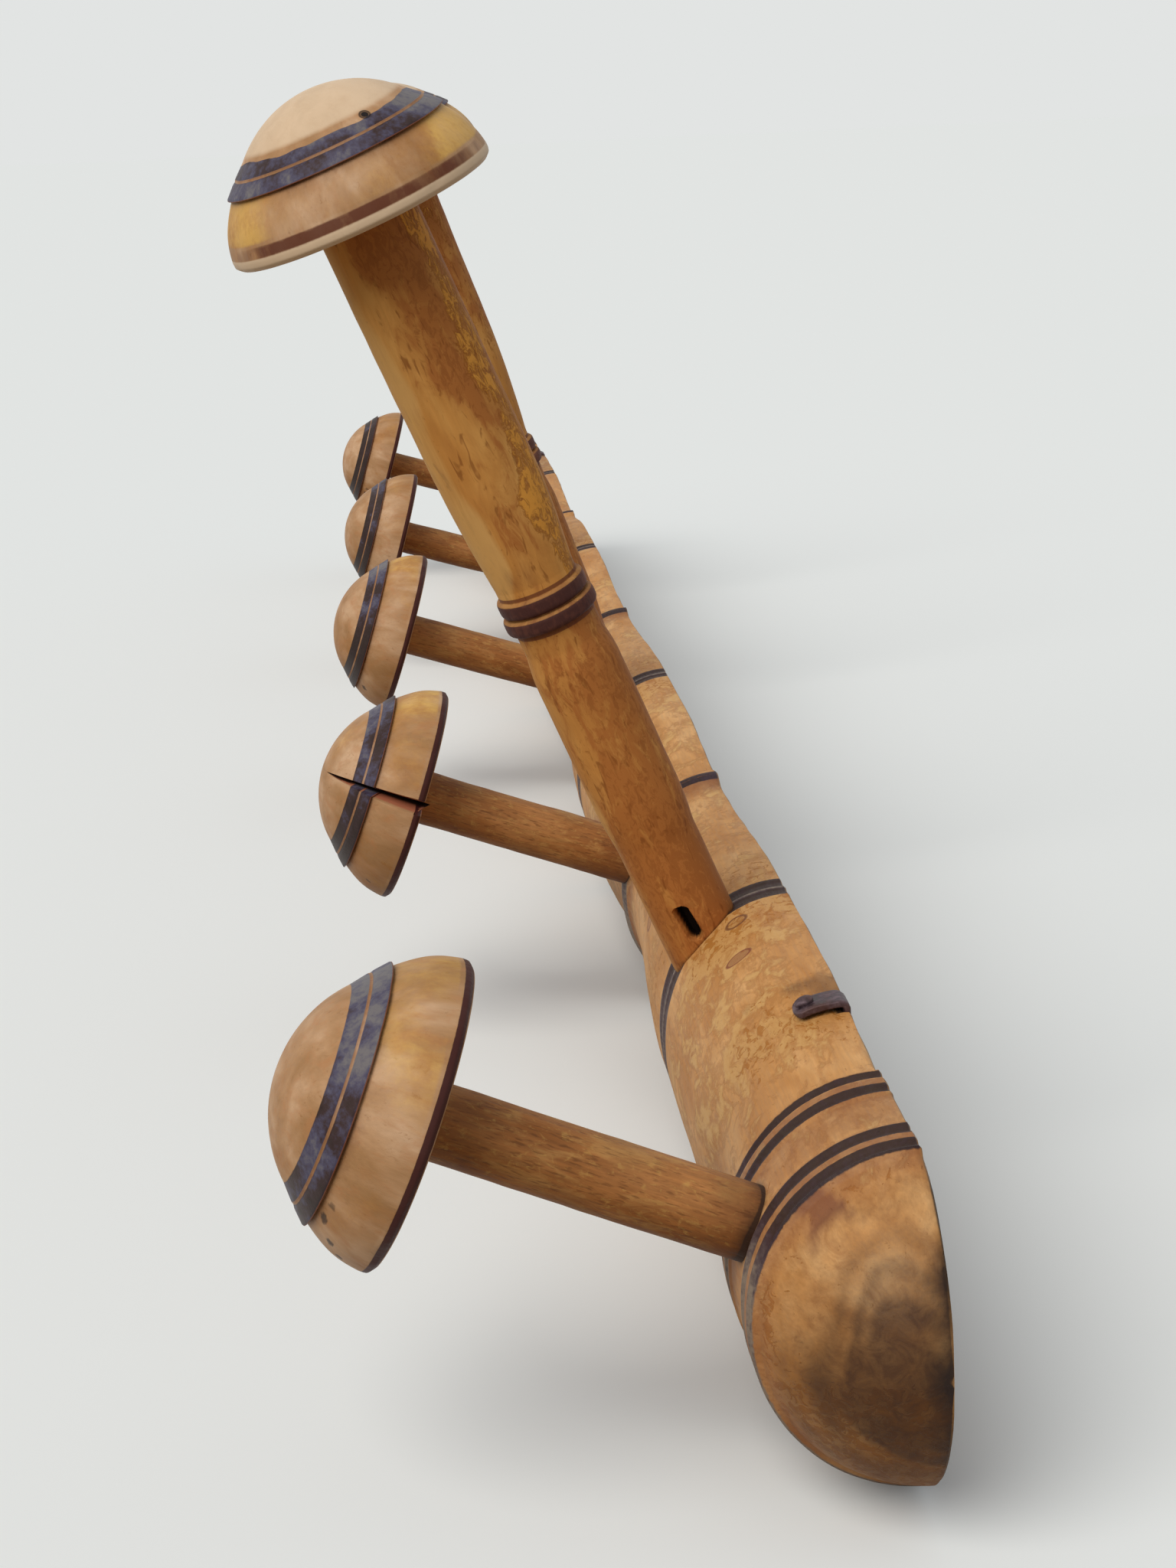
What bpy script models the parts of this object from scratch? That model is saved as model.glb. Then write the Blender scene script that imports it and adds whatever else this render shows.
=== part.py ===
"""Wall coat rack in turned wood that imitates bamboo, modelled piece by piece.

Metres, +Z up. The rail is a split turning: its turning axis lies in the flat back, the plane y = 0 that
meets the wall. X runs along the rail and the front is -Y. Peg 1 and arm 1 are the ones nearest the +X end.
Every peg, arm and knob is a separate turning, plugged into a bored socket.
"""
import math

import bmesh
import bpy
from mathutils import Matrix, Vector

# Rail: spacing of the pegs, and how far rings, bands and ends lie from them
PEG_SPACING = 0.231
PAIR_OFFSET = 0.012
INNER_BAND_SHIFT = 0.0045
DOME_LENGTH = 0.0270

# Rail: radii of the turning, and the shares of a bamboo joint over which it swells and tapers
WAIST_R = 0.0264
SWELL_R = 0.0302
RIDGE_R = 0.0281
PAIR_WAIST_R = 0.0277
SWELL_FROM, SWELL_FULL = 0.06, 0.46
TAPER_FROM, TAPER_END = 0.72, 1.02

# Rail: depth of the section from back to front as a share of its radius, and the ease to the end's share
FRONT_SHARE = 0.85
END_SHARE = 0.965
SHARE_EASE = 0.035

# Rail: rings and grooves
RIDGE_HALF_WIDTH = 0.0075
PAIR_HALF_WIDTH = 0.0062
GROOVE_PITCH = 0.0060
GROOVE_WIDTH = 0.0034
GROOVE_DEPTH = 0.0006
BAND_WIDTH = 0.0100
BAND_DEPTH = 0.0004
DOME_LEAD = 0.0045
DOME_POWER = 2.02

# Short pegs: each was fitted by hand, so rise and reach differ a little from peg to peg
PEG_RADIUS = 0.0062
PEG_RISES = (23.0, 20.4, 18.5, 17.0, 17.6)
PEG_REACHES = (0.0810, 0.0757, 0.0740, 0.0716, 0.0745)
PEG_SOCKET = 0.0150

# Hat arms
ARM_SEAT_ANGLE = 47.5
ARM_RISES = (67.9, 70.6, 69.0, 68.0)
ARM_SPLAY = 6.0
ARM_LENGTH = 0.1545
ARM_FOOT_R = 0.0061
ARM_BODY_R = 0.0087
ARM_FLARE = 0.0300
ARM_NECK = 0.0095
ARM_NECK_R = 0.0078
ARM_UPPER_FOOT_R = 0.0080
ARM_UPPER_FLARE = 0.0300
ARM_TOP_R = 0.0095
ARM_RING_AT = 0.0747
ROLL_PITCH = 0.0037
LOWER_ROLL_R = 0.0093
UPPER_ROLL_R = 0.0089
ROLL_GROOVE_R = 0.0080
ARM_PLAIN = 0.0025
ARM_SOCKET = 0.0160
ARM_TENON_R = 0.0060

# Mushroom knobs, the same turning on pegs and arms
KNOB_R = 0.0250
KNOB_HEIGHT = 0.0233
KNOB_RIM = 0.0018
KNOB_CHAMFER = 0.0008
SKIRT_TOP_R = 0.0203
SKIRT_TOP = 0.0117
SKIRT_BULGE = 0.0009
STEP = 0.0008
BAND_LINE_R = 0.0187
BAND_LINE = 0.0142
CROWN_R = 0.0158
CROWN_FOOT = 0.0167
KNOB_SOCKET = 0.0130

# Iron hanger straps, bent over the top back edge and let into the back, set inside the inner ring pairs
STRAP_INSET = 0.0365
STRAP_WIDTH = 0.0066
STRAP_THICKNESS = 0.0014
STRAP_DROP = 0.0420
STRAP_WRAP = 22.0
EYE_R = 0.0023
EYE_DROP = 0.0160
POCKET_R = 0.0033
POCKET_DEPTH = 0.0080

# Nails
NAIL_R = 0.0009
STRAP_NAIL_LENGTH = 0.0100
STRAP_NAIL_WRAP = 16.8
STRAP_NAIL_DROP = 0.0340
NAIL_HEAD_R = 0.0017
NAIL_HEAD = 0.0010
ARM_NAIL_LENGTH = 0.0260
ARM_NAIL_SINK = 0.0080
ARM_NAIL_AT = 0.0055
ARM_NAIL_SLANT = 17.0
ARM_NAIL_TURN = 11.0

# Fits and facets
CLEARANCE = 0.0003
RAIL_SIDES = 13
SHAFT_SIDES = 16
KNOB_SIDES = 24
NAIL_SIDES = 8
BARREL_POINTS = 4
DOME_POINTS = 8
LOWER_SHAFT_POINTS = 6
UPPER_SHAFT_POINTS = 5
CROWN_POINTS = 4
WRAP_POINTS = 4
SHARP_ANGLE = 35.0
MERGE = 1e-6

# Places worked out from the sizes above
SIDES = (1, -1)
INNER_PAIR_AT = 2 * PEG_SPACING - PAIR_OFFSET
OUTER_PAIR_AT = 2 * PEG_SPACING + PAIR_OFFSET
INNER_BAND_AT = PEG_SPACING / 2 + INNER_BAND_SHIFT
OUTER_BAND_AT = (PEG_SPACING + INNER_PAIR_AT) / 2
STRAP_AT = INNER_PAIR_AT - STRAP_INSET
POLE_AT = OUTER_PAIR_AT + DOME_LENGTH
PEG_PLACES = tuple(PEG_SPACING * k for k in (2, 1, 0, -1, -2))
ARM_PLACES = (OUTER_BAND_AT, INNER_BAND_AT, -INNER_BAND_AT, -OUTER_BAND_AT)
LOWER_SHAFT_END = ARM_RING_AT - 1.5 * ROLL_PITCH
UPPER_SHAFT_START = ARM_RING_AT + 1.5 * ROLL_PITCH

RAIL_WOOD = ((0.56, 0.30, 0.10), 0.50, 0.0)
PEG_WOOD = ((0.30, 0.13, 0.04), 0.55, 0.0)
ARM_WOOD = ((0.34, 0.15, 0.04), 0.50, 0.0)
KNOB_WOOD = ((0.60, 0.36, 0.14), 0.45, 0.0)
IRON = ((0.07, 0.05, 0.06), 0.60, 0.8)


def ease(t):
    """Smooth step from 0 to 1."""
    t = min(max(t, 0.0), 1.0)
    return t * t * (3 - 2 * t)


def barrel_radius(x, start, end):
    """Bamboo joint between two nodes: a waist beside the inner node, then a long swelling."""
    u = (x - start) / (end - start)
    swelling = ease((u - SWELL_FROM) / (SWELL_FULL - SWELL_FROM))
    taper = ease((u - TAPER_FROM) / (TAPER_END - TAPER_FROM))
    return WAIST_R + (SWELL_R - WAIST_R) * swelling * (1 - taper)


def body_radius(x):
    """Rail radius without rings or grooves, the same on both halves."""
    x = abs(x)
    if x <= PEG_SPACING:
        return barrel_radius(x, 0.0, PEG_SPACING)
    if x <= INNER_PAIR_AT:
        return barrel_radius(x, PEG_SPACING, INNER_PAIR_AT)
    return PAIR_WAIST_R


def dome_radius(x):
    """Rounded bullet end, a superellipse that starts just inside the outer ring pair."""
    u = (x - OUTER_PAIR_AT + DOME_LEAD) / (DOME_LENGTH + DOME_LEAD)
    return RIDGE_R * max(1 - u ** DOME_POWER, 0.0) ** (1 / DOME_POWER)


def rail_radius(x):
    """Rail radius at x with its raised node rings."""
    radius = body_radius(x)
    for node in (-PEG_SPACING, 0.0, PEG_SPACING):
        near = 1 - abs(x - node) / RIDGE_HALF_WIDTH
        radius += (RIDGE_R - WAIST_R) * ease(near)
    return radius


def front_share(x):
    """Depth of the rail's section as a share of its radius: flatter between the inner ring pairs."""
    near_end = ease((abs(x) - INNER_PAIR_AT + SHARE_EASE) / SHARE_EASE)
    return FRONT_SHARE + (END_SHARE - FRONT_SHARE) * near_end


def rail_depth(x):
    """Distance from the rail's flat back to its front."""
    return rail_radius(x) * front_share(x)


def ring_pair(centre):
    """Profile points across a raised ring with two turned grooves."""
    groove = GROOVE_PITCH / 2
    half = GROOVE_WIDTH / 2
    points = []
    for side in (-1, 1):
        points.append((centre + side * (groove - half), RIDGE_R))
        points.append((centre + side * groove, RIDGE_R - GROOVE_DEPTH))
        points.append((centre + side * (groove + half), RIDGE_R))
    points.append((centre - PAIR_HALF_WIDTH, body_radius(centre - PAIR_HALF_WIDTH)))
    if centre < OUTER_PAIR_AT:
        points.append((centre + PAIR_HALF_WIDTH, body_radius(centre + PAIR_HALF_WIDTH)))
    return points


def band(centre):
    """Profile points across a scorched band: two shallow grooves and the line between them."""
    points = []
    for share, depth in ((-0.5, 0), (-0.25, 1), (0, 0), (0.25, 1), (0.5, 0)):
        x = centre + share * BAND_WIDTH
        points.append((x, rail_radius(x) - depth * BAND_DEPTH))
    return points


def ridge(centre):
    """Profile points over one raised node ring."""
    return [(centre + share * RIDGE_HALF_WIDTH, rail_radius(centre + share * RIDGE_HALF_WIDTH))
            for share in (-1, -0.6, -0.25, 0.25, 0.6, 1)]


def plain(start, end):
    """Profile points on the bare wood between two features."""
    step = (end - start) / (BARREL_POINTS + 1)
    places = [start + step * k for k in range(1, BARREL_POINTS + 1)]
    return [(x, rail_radius(x)) for x in places]


def rail_profile():
    """Half of the rail's outline from its middle to the pole of the dome, in order along x."""
    points = [p for p in ridge(0.0) if p[0] > 0]
    points += plain(RIDGE_HALF_WIDTH, INNER_BAND_AT - BAND_WIDTH / 2)
    points += band(INNER_BAND_AT)
    points += plain(INNER_BAND_AT + BAND_WIDTH / 2, PEG_SPACING - RIDGE_HALF_WIDTH)
    points += ridge(PEG_SPACING)
    points += plain(PEG_SPACING + RIDGE_HALF_WIDTH, OUTER_BAND_AT - BAND_WIDTH / 2)
    points += band(OUTER_BAND_AT)
    points += plain(OUTER_BAND_AT + BAND_WIDTH / 2, INNER_PAIR_AT - PAIR_HALF_WIDTH)
    points += ring_pair(INNER_PAIR_AT)
    points += ring_pair(OUTER_PAIR_AT)
    start = OUTER_PAIR_AT + PAIR_HALF_WIDTH
    for k in range(DOME_POINTS):
        x = start + (POLE_AT - start) * math.sin(math.pi / 2 * k / DOME_POINTS)
        points.append((x, dome_radius(x)))
    points.append((POLE_AT, 0.0))
    return sorted(points)


def bm_object(name, bm, material, parent):
    """Finish a mesh: merge doubles, turn faces outwards, shade round faces smooth, make the object."""
    bmesh.ops.remove_doubles(bm, verts=bm.verts, dist=MERGE)
    bmesh.ops.recalc_face_normals(bm, faces=bm.faces)
    mesh = bpy.data.meshes.new(name)
    bm.to_mesh(mesh)
    bm.free()
    mesh.shade_smooth()
    mesh.set_sharp_from_angle(angle=math.radians(SHARP_ANGLE))
    item = bpy.data.objects.new(name, mesh)
    bpy.context.scene.collection.objects.link(item)
    item.parent = parent
    if material is not None:
        mesh.materials.append(wood_or_iron(name, *material))
    return item


def wood_or_iron(name, colour, roughness, metallic):
    """One Principled material for one piece."""
    material = bpy.data.materials.new(name)
    material.use_nodes = True
    shader = material.node_tree.nodes["Principled BSDF"]
    shader.inputs["Base Color"].default_value = (*colour, 1.0)
    shader.inputs["Roughness"].default_value = roughness
    shader.inputs["Metallic"].default_value = metallic
    return material


def spin_profile(bm, points, axis, angle, steps):
    """Spin a chain of points about an axis through the origin."""
    verts = [bm.verts.new(p) for p in points]
    edges = [bm.edges.new(pair) for pair in zip(verts, verts[1:])]
    bmesh.ops.spin(bm, geom=verts + edges, cent=(0, 0, 0), axis=axis, angle=angle, steps=steps)


def turned(profile, sides):
    """Turn a closed (radius, height) profile that starts and ends on the local Z axis."""
    bm = bmesh.new()
    spin_profile(bm, [(r, 0.0, z) for r, z in profile], (0, 0, 1), math.tau, sides)
    bmesh.ops.remove_doubles(bm, verts=bm.verts, dist=MERGE)
    bmesh.ops.recalc_face_normals(bm, faces=bm.faces)
    return bm


def add_turned(bm, profile, sides, place):
    """Add a turned shape, set in place by a frame, to a mesh that collects several."""
    shape = turned(profile, sides)
    bmesh.ops.transform(shape, matrix=place, verts=shape.verts)
    copy = bpy.data.meshes.new("turned")
    shape.to_mesh(copy)
    shape.free()
    bm.from_mesh(copy)
    bpy.data.meshes.remove(copy)


def rod_profile(radius, low, high):
    """Plain round rod between two heights."""
    return [(0.0, low), (radius, low), (radius, high), (0.0, high)]


def axis_frame(origin, direction):
    """Frame with local Z along a direction and local X as near as it can be to the rail's X."""
    z = Vector(direction).normalized()
    x = (Vector((1, 0, 0)) - z.x * z).normalized()
    y = z.cross(x)
    turn = Matrix((x, y, z)).transposed().to_4x4()
    return Matrix.Translation(origin) @ turn


def peg_frame(index):
    """Frame of a short peg: origin on the rail's axis, Z out along the shaft."""
    rise = math.radians(PEG_RISES[index])
    return axis_frame((PEG_PLACES[index], 0, 0), (0, -math.cos(rise), math.sin(rise)))


def arm_frame(index):
    """Frame of a hat arm: origin where it leaves the rail's surface, Z up along the shaft."""
    x = ARM_PLACES[index]
    seat = math.radians(ARM_SEAT_ANGLE)
    rise = math.radians(ARM_RISES[index])
    splay = math.copysign(math.radians(ARM_SPLAY), x)
    radius = rail_radius(x)
    origin = (x, -rail_depth(x) * math.cos(seat), radius * math.sin(seat))
    flat = math.cos(splay)
    return axis_frame(origin, (math.sin(splay), -math.cos(rise) * flat, math.sin(rise) * flat))


def arm_nail_frame(index):
    """Frame of an arm's nail: origin at the middle of the hole's mouth, Z down along the nail."""
    outward = math.copysign(1, ARM_PLACES[index])
    turn = math.radians(ARM_NAIL_TURN)
    slant = math.radians(ARM_NAIL_SLANT)
    side = Vector((outward * math.cos(turn), -math.sin(turn), 0))
    mouth = side * arm_radius(ARM_NAIL_AT) + Vector((0, 0, ARM_NAIL_AT))
    down = -side * math.sin(slant) - Vector((0, 0, 1)) * math.cos(slant)
    return arm_frame(index) @ axis_frame(mouth, down)


def arm_radius(t):
    """Radius of a hat arm at height t above the rail, apart from its double ring."""
    if t <= ARM_PLAIN:
        return ARM_FOOT_R
    if t <= LOWER_SHAFT_END:
        flare = ease((t - ARM_PLAIN) / ARM_FLARE)
        neck = ease((t - LOWER_SHAFT_END + ARM_NECK) / ARM_NECK)
        return ARM_FOOT_R + (ARM_BODY_R - ARM_FOOT_R) * flare - (ARM_BODY_R - ARM_NECK_R) * neck
    u = min((t - UPPER_SHAFT_START) / ARM_UPPER_FLARE, 1.0)
    return ARM_TOP_R - (ARM_TOP_R - ARM_UPPER_FOOT_R) * (1 - u) ** 2


def shaft_points(start, end, count):
    """Profile points on a stretch of a hat arm, both ends included."""
    heights = [start + (end - start) * k / count for k in range(count + 1)]
    return [(arm_radius(t), t) for t in heights]


def arm_profile():
    """Turned outline of a hat arm from the end in the rail to the tenon in the knob."""
    shoulder = ARM_LENGTH - CLEARANCE
    tip = ARM_LENGTH + KNOB_SOCKET - CLEARANCE
    points = [(0.0, -ARM_SOCKET), (ARM_FOOT_R, -ARM_SOCKET)]
    points += shaft_points(ARM_PLAIN, LOWER_SHAFT_END, LOWER_SHAFT_POINTS)
    for centre, radius in ((-0.5, LOWER_ROLL_R), (0.5, UPPER_ROLL_R)):
        middle = ARM_RING_AT + centre * ROLL_PITCH
        points.append((ROLL_GROOVE_R, middle - ROLL_PITCH / 2))
        points += [(radius, middle + share * ROLL_PITCH) for share in (-0.25, 0.25)]
    points.append((ROLL_GROOVE_R, ARM_RING_AT + ROLL_PITCH))
    points += shaft_points(UPPER_SHAFT_START, shoulder, UPPER_SHAFT_POINTS)
    return points + [(ARM_TENON_R, shoulder), (ARM_TENON_R, tip), (0.0, tip)]


def knob_profile(bore):
    """Mushroom knob from its socket round the rim, up the skirt and the two bands to the crown."""
    points = [(0.0, KNOB_SOCKET), (bore, KNOB_SOCKET), (bore, 0.0)]
    points += [(KNOB_R - KNOB_CHAMFER, 0.0), (KNOB_R, KNOB_CHAMFER), (KNOB_R, KNOB_RIM)]
    for u in (0.35, 0.70, 1.0):
        bulge = SKIRT_BULGE * math.sin(math.pi * u)
        points.append((KNOB_R + (SKIRT_TOP_R - KNOB_R) * u + bulge, KNOB_RIM + (SKIRT_TOP - KNOB_RIM) * u))
    points += [(SKIRT_TOP_R + STEP, SKIRT_TOP + STEP / 4), (BAND_LINE_R, BAND_LINE), (CROWN_R, CROWN_FOOT)]
    sphere = (CROWN_R ** 2 + (KNOB_HEIGHT - CROWN_FOOT) ** 2) / (2 * (KNOB_HEIGHT - CROWN_FOOT))
    edge = math.asin(CROWN_R / sphere)
    for k in range(CROWN_POINTS - 1, 0, -1):
        angle = edge * k / CROWN_POINTS
        points.append((sphere * math.sin(angle), KNOB_HEIGHT - sphere * (1 - math.cos(angle))))
    return points + [(0.0, KNOB_HEIGHT)]


def cutter(name, bm, parent):
    """Hidden object that only cuts."""
    item = bm_object(name, bm, None, parent)
    item.display_type = "WIRE"
    item.hide_render = True
    return item


def cut(item, tool):
    """Subtract a cutter from a piece."""
    modifier = item.modifiers.new("cut_" + tool.name, "BOOLEAN")
    modifier.operation = "DIFFERENCE"
    modifier.solver = "EXACT"
    modifier.object = tool


def add_box(bm, low, high):
    """Add a box between two corners."""
    low, high = Vector(low), Vector(high)
    place = Matrix.Translation((low + high) / 2) @ Matrix.Diagonal((*(high - low), 1))
    bmesh.ops.create_cube(bm, size=1.0, matrix=place)


def strap_top(side):
    """Largest radius of the rail's back edge under a strap."""
    return max(rail_radius(side * STRAP_AT + share * STRAP_WIDTH / 2) for share in (-1, 1))


def strap_nail_frames(side):
    """Frames of a strap's two nails: origin on the strap's outer face, Z into the wood."""
    wrap = math.radians(STRAP_NAIL_WRAP)
    share = front_share(STRAP_AT)
    outward = Vector((0, -math.sin(wrap) / share, math.cos(wrap))).normalized()
    radius = strap_top(side) + CLEARANCE + STRAP_THICKNESS
    top = Vector((0, -share * math.sin(wrap), math.cos(wrap))) * radius
    back = Vector((0, 0, strap_top(side) - STRAP_NAIL_DROP))
    shift = Vector((side * STRAP_AT, 0, 0))
    return {"top": axis_frame(shift + top, -outward), "back": axis_frame(shift + back, (0, -1, 0))}


def nail_profile(kind, grow=0.0):
    """Strap nail: a domed head standing on top, or a countersunk head flush with the back."""
    shank = NAIL_R + grow
    head = NAIL_HEAD_R + grow
    end = STRAP_NAIL_LENGTH + grow
    if kind == "back":
        return [(0.0, end), (shank, end - NAIL_R), (shank, NAIL_HEAD + grow), (head, 0.0), (0.0, 0.0)]
    return [(0.0, end), (shank, end - NAIL_R), (shank, -CLEARANCE), (head, -CLEARANCE),
            (head * 0.7, -CLEARANCE - NAIL_HEAD * 0.8), (0.0, -CLEARANCE - NAIL_HEAD)]


def make_rail(root):
    """Half-round rail with its flat back, bored for pegs, arms and nails and let in for the straps."""
    half = rail_profile()
    profile = [(-x, r) for x, r in reversed(half)] + half
    bm = bmesh.new()
    spin_profile(bm, [(x, 0.0, r) for x, r in profile], (1, 0, 0), math.pi, RAIL_SIDES)
    bmesh.ops.remove_doubles(bm, verts=bm.verts, dist=MERGE)
    for vert in bm.verts:
        vert.co.y *= front_share(vert.co.x)
    bmesh.ops.contextual_create(bm, geom=[e for e in bm.edges if e.is_boundary])
    rail = bm_object("rail", bm, RAIL_WOOD, root)

    sockets = bmesh.new()
    for index, x in enumerate(PEG_PLACES):
        low = rail_depth(x) - PEG_SOCKET - CLEARANCE
        bore = rod_profile(PEG_RADIUS + CLEARANCE, low, rail_depth(x) + PEG_SOCKET)
        add_turned(sockets, bore, SHAFT_SIDES, peg_frame(index))
    for index in range(len(ARM_PLACES)):
        bore = rod_profile(ARM_FOOT_R + CLEARANCE, -ARM_SOCKET - CLEARANCE, ARM_SOCKET)
        add_turned(sockets, bore, SHAFT_SIDES, arm_frame(index))
    cut(rail, cutter("rail_sockets", sockets, root))

    recesses = bmesh.new()
    pockets = bmesh.new()
    pilots = bmesh.new()
    for side in SIDES:
        x = side * STRAP_AT
        half_width = STRAP_WIDTH / 2 + CLEARANCE
        top = strap_top(side)
        add_box(recesses, (x - half_width, -STRAP_THICKNESS - CLEARANCE, top - STRAP_DROP - CLEARANCE),
                (x + half_width, STRAP_THICKNESS, top + STRAP_THICKNESS))
        eye = axis_frame((x, 0, top - EYE_DROP), (0, -1, 0))
        add_turned(pockets, rod_profile(POCKET_R, -STRAP_THICKNESS, POCKET_DEPTH), SHAFT_SIDES, eye)
        for kind, frame in strap_nail_frames(side).items():
            add_turned(pilots, nail_profile(kind, CLEARANCE), NAIL_SIDES, frame)
    for index in range(len(ARM_PLACES)):
        add_turned(pilots, arm_bore_profile(), NAIL_SIDES, arm_nail_frame(index))
    cut(rail, cutter("rail_strap_recesses", recesses, root))
    cut(rail, cutter("rail_eye_pockets", pockets, root))
    cut(rail, cutter("rail_nail_pilots", pilots, root))


def arm_bore_profile():
    """Slanted bore for an arm's nail, from outside the shaft to just past the nail's point."""
    end = ARM_NAIL_SINK + ARM_NAIL_LENGTH + CLEARANCE
    return rod_profile(NAIL_R + CLEARANCE, -ARM_NAIL_SINK, end)


def make_short_peg(index, root):
    """One short peg and its knob."""
    number = index + 1
    frame = peg_frame(index)
    reach = PEG_REACHES[index]
    low = rail_depth(PEG_PLACES[index]) - PEG_SOCKET
    shaft = turned(rod_profile(PEG_RADIUS, low, reach + KNOB_SOCKET - CLEARANCE), SHAFT_SIDES)
    bm_object(f"short_peg_{number}", shaft, PEG_WOOD, root).matrix_local = frame
    knob = turned(knob_profile(PEG_RADIUS + CLEARANCE), KNOB_SIDES)
    seat = frame @ Matrix.Translation((0, 0, reach))
    bm_object(f"short_knob_{number}", knob, KNOB_WOOD, root).matrix_local = seat


def make_hat_arm(index, root):
    """One hat arm with its nail and its knob."""
    number = index + 1
    frame = arm_frame(index)
    arm = bm_object(f"hat_arm_{number}", turned(arm_profile(), SHAFT_SIDES), ARM_WOOD, root)
    arm.matrix_local = frame
    bore = bmesh.new()
    add_turned(bore, arm_bore_profile(), NAIL_SIDES, arm_nail_frame(index))
    cut(arm, cutter(f"hat_arm_bore_{number}", bore, root))
    end = ARM_NAIL_SINK + ARM_NAIL_LENGTH
    profile = [(0.0, end), (NAIL_R, end - 2 * NAIL_R), (NAIL_R, ARM_NAIL_SINK), (0.0, ARM_NAIL_SINK)]
    nail = bm_object(f"arm_nail_{number}", turned(profile, NAIL_SIDES), IRON, root)
    nail.matrix_local = arm_nail_frame(index)
    knob = turned(knob_profile(ARM_TENON_R + CLEARANCE), KNOB_SIDES)
    seat = frame @ Matrix.Translation((0, 0, ARM_LENGTH))
    bm_object(f"hat_knob_{number}", knob, KNOB_WOOD, root).matrix_local = seat


def strap_path(side, offset):
    """One face of a strap in the YZ plane, from its foot on the back up and over the rail's top."""
    radius = strap_top(side) + CLEARANCE + offset
    depth = radius * front_share(STRAP_AT)
    y_back = -STRAP_THICKNESS + offset
    first = math.asin(STRAP_THICKNESS / depth)
    bend = radius * math.cos(first)
    points = [(y_back, strap_top(side) - STRAP_DROP)]
    if offset > 0:
        corner = offset * (1 - math.cos(math.pi / 4))
        points += [(y_back, bend - offset), (y_back - corner, bend - corner)]
    for k in range(WRAP_POINTS + 1):
        angle = first + (math.radians(STRAP_WRAP) - first) * k / WRAP_POINTS
        points.append((-depth * math.sin(angle), radius * math.cos(angle)))
    return points


def make_strap(side, root):
    """One iron strap with its hanging eye and its two nails."""
    word = "right" if side > 0 else "left"
    outline = strap_path(side, 0.0) + strap_path(side, STRAP_THICKNESS)[::-1]
    bm = bmesh.new()
    x = side * STRAP_AT - STRAP_WIDTH / 2
    face = bm.faces.new([bm.verts.new((x, y, z)) for y, z in outline])
    extruded = bmesh.ops.extrude_face_region(bm, geom=[face])
    moved = [v for v in extruded["geom"] if isinstance(v, bmesh.types.BMVert)]
    bmesh.ops.translate(bm, verts=moved, vec=(STRAP_WIDTH, 0, 0))
    strap = bm_object(f"hanger_strap_{word}", bm, IRON, root)
    holes = bmesh.new()
    eye = axis_frame((side * STRAP_AT, 0, strap_top(side) - EYE_DROP), (0, -1, 0))
    add_turned(holes, rod_profile(EYE_R, -STRAP_THICKNESS, 2 * STRAP_THICKNESS), SHAFT_SIDES, eye)
    for kind, frame in strap_nail_frames(side).items():
        add_turned(holes, strap_hole_profile(kind), NAIL_SIDES, frame)
        nail = turned(nail_profile(kind), NAIL_SIDES)
        bm_object(f"strap_nail_{kind}_{word}", nail, IRON, root).matrix_local = frame
    cut(strap, cutter(f"hanger_strap_holes_{word}", holes, root))


def strap_hole_profile(kind):
    """Hole through the strap, countersunk on the back."""
    if kind == "back":
        rim = NAIL_HEAD_R + CLEARANCE
        bore = NAIL_R + CLEARANCE
        return [(0.0, 2 * STRAP_THICKNESS), (bore, 2 * STRAP_THICKNESS), (bore, NAIL_HEAD + CLEARANCE),
                (rim, 0.0), (rim, -STRAP_THICKNESS), (0.0, -STRAP_THICKNESS)]
    return rod_profile(NAIL_R + CLEARANCE, -STRAP_THICKNESS, 2 * STRAP_THICKNESS)


def main():
    """Clear the scene and build every piece under one empty."""
    for item in list(bpy.data.objects):
        bpy.data.objects.remove(item, do_unlink=True)
    root = bpy.data.objects.new("coat_rack", None)
    bpy.context.scene.collection.objects.link(root)
    make_rail(root)
    for index in range(len(PEG_PLACES)):
        make_short_peg(index, root)
    for index in range(len(ARM_PLACES)):
        make_hat_arm(index, root)
    for side in SIDES:
        make_strap(side, root)


main()
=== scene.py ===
"""Looks of a wall coat rack turned in beech to imitate bamboo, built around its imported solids.

Metres, +Z up. X runs along the rail, its flat back lies in the wall plane y = 0 and the front is -Y.
Every surface is a grid of points worked out with numpy. Each vertex of the wood carries its place in the
grain and a few masks, such as scorch or dirt, which the finishes read.
"""
import functools
import itertools
import logging
import math
from dataclasses import dataclass, field
from enum import Enum

import bpy
import numpy as np
from mathutils import Matrix, Vector


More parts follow.
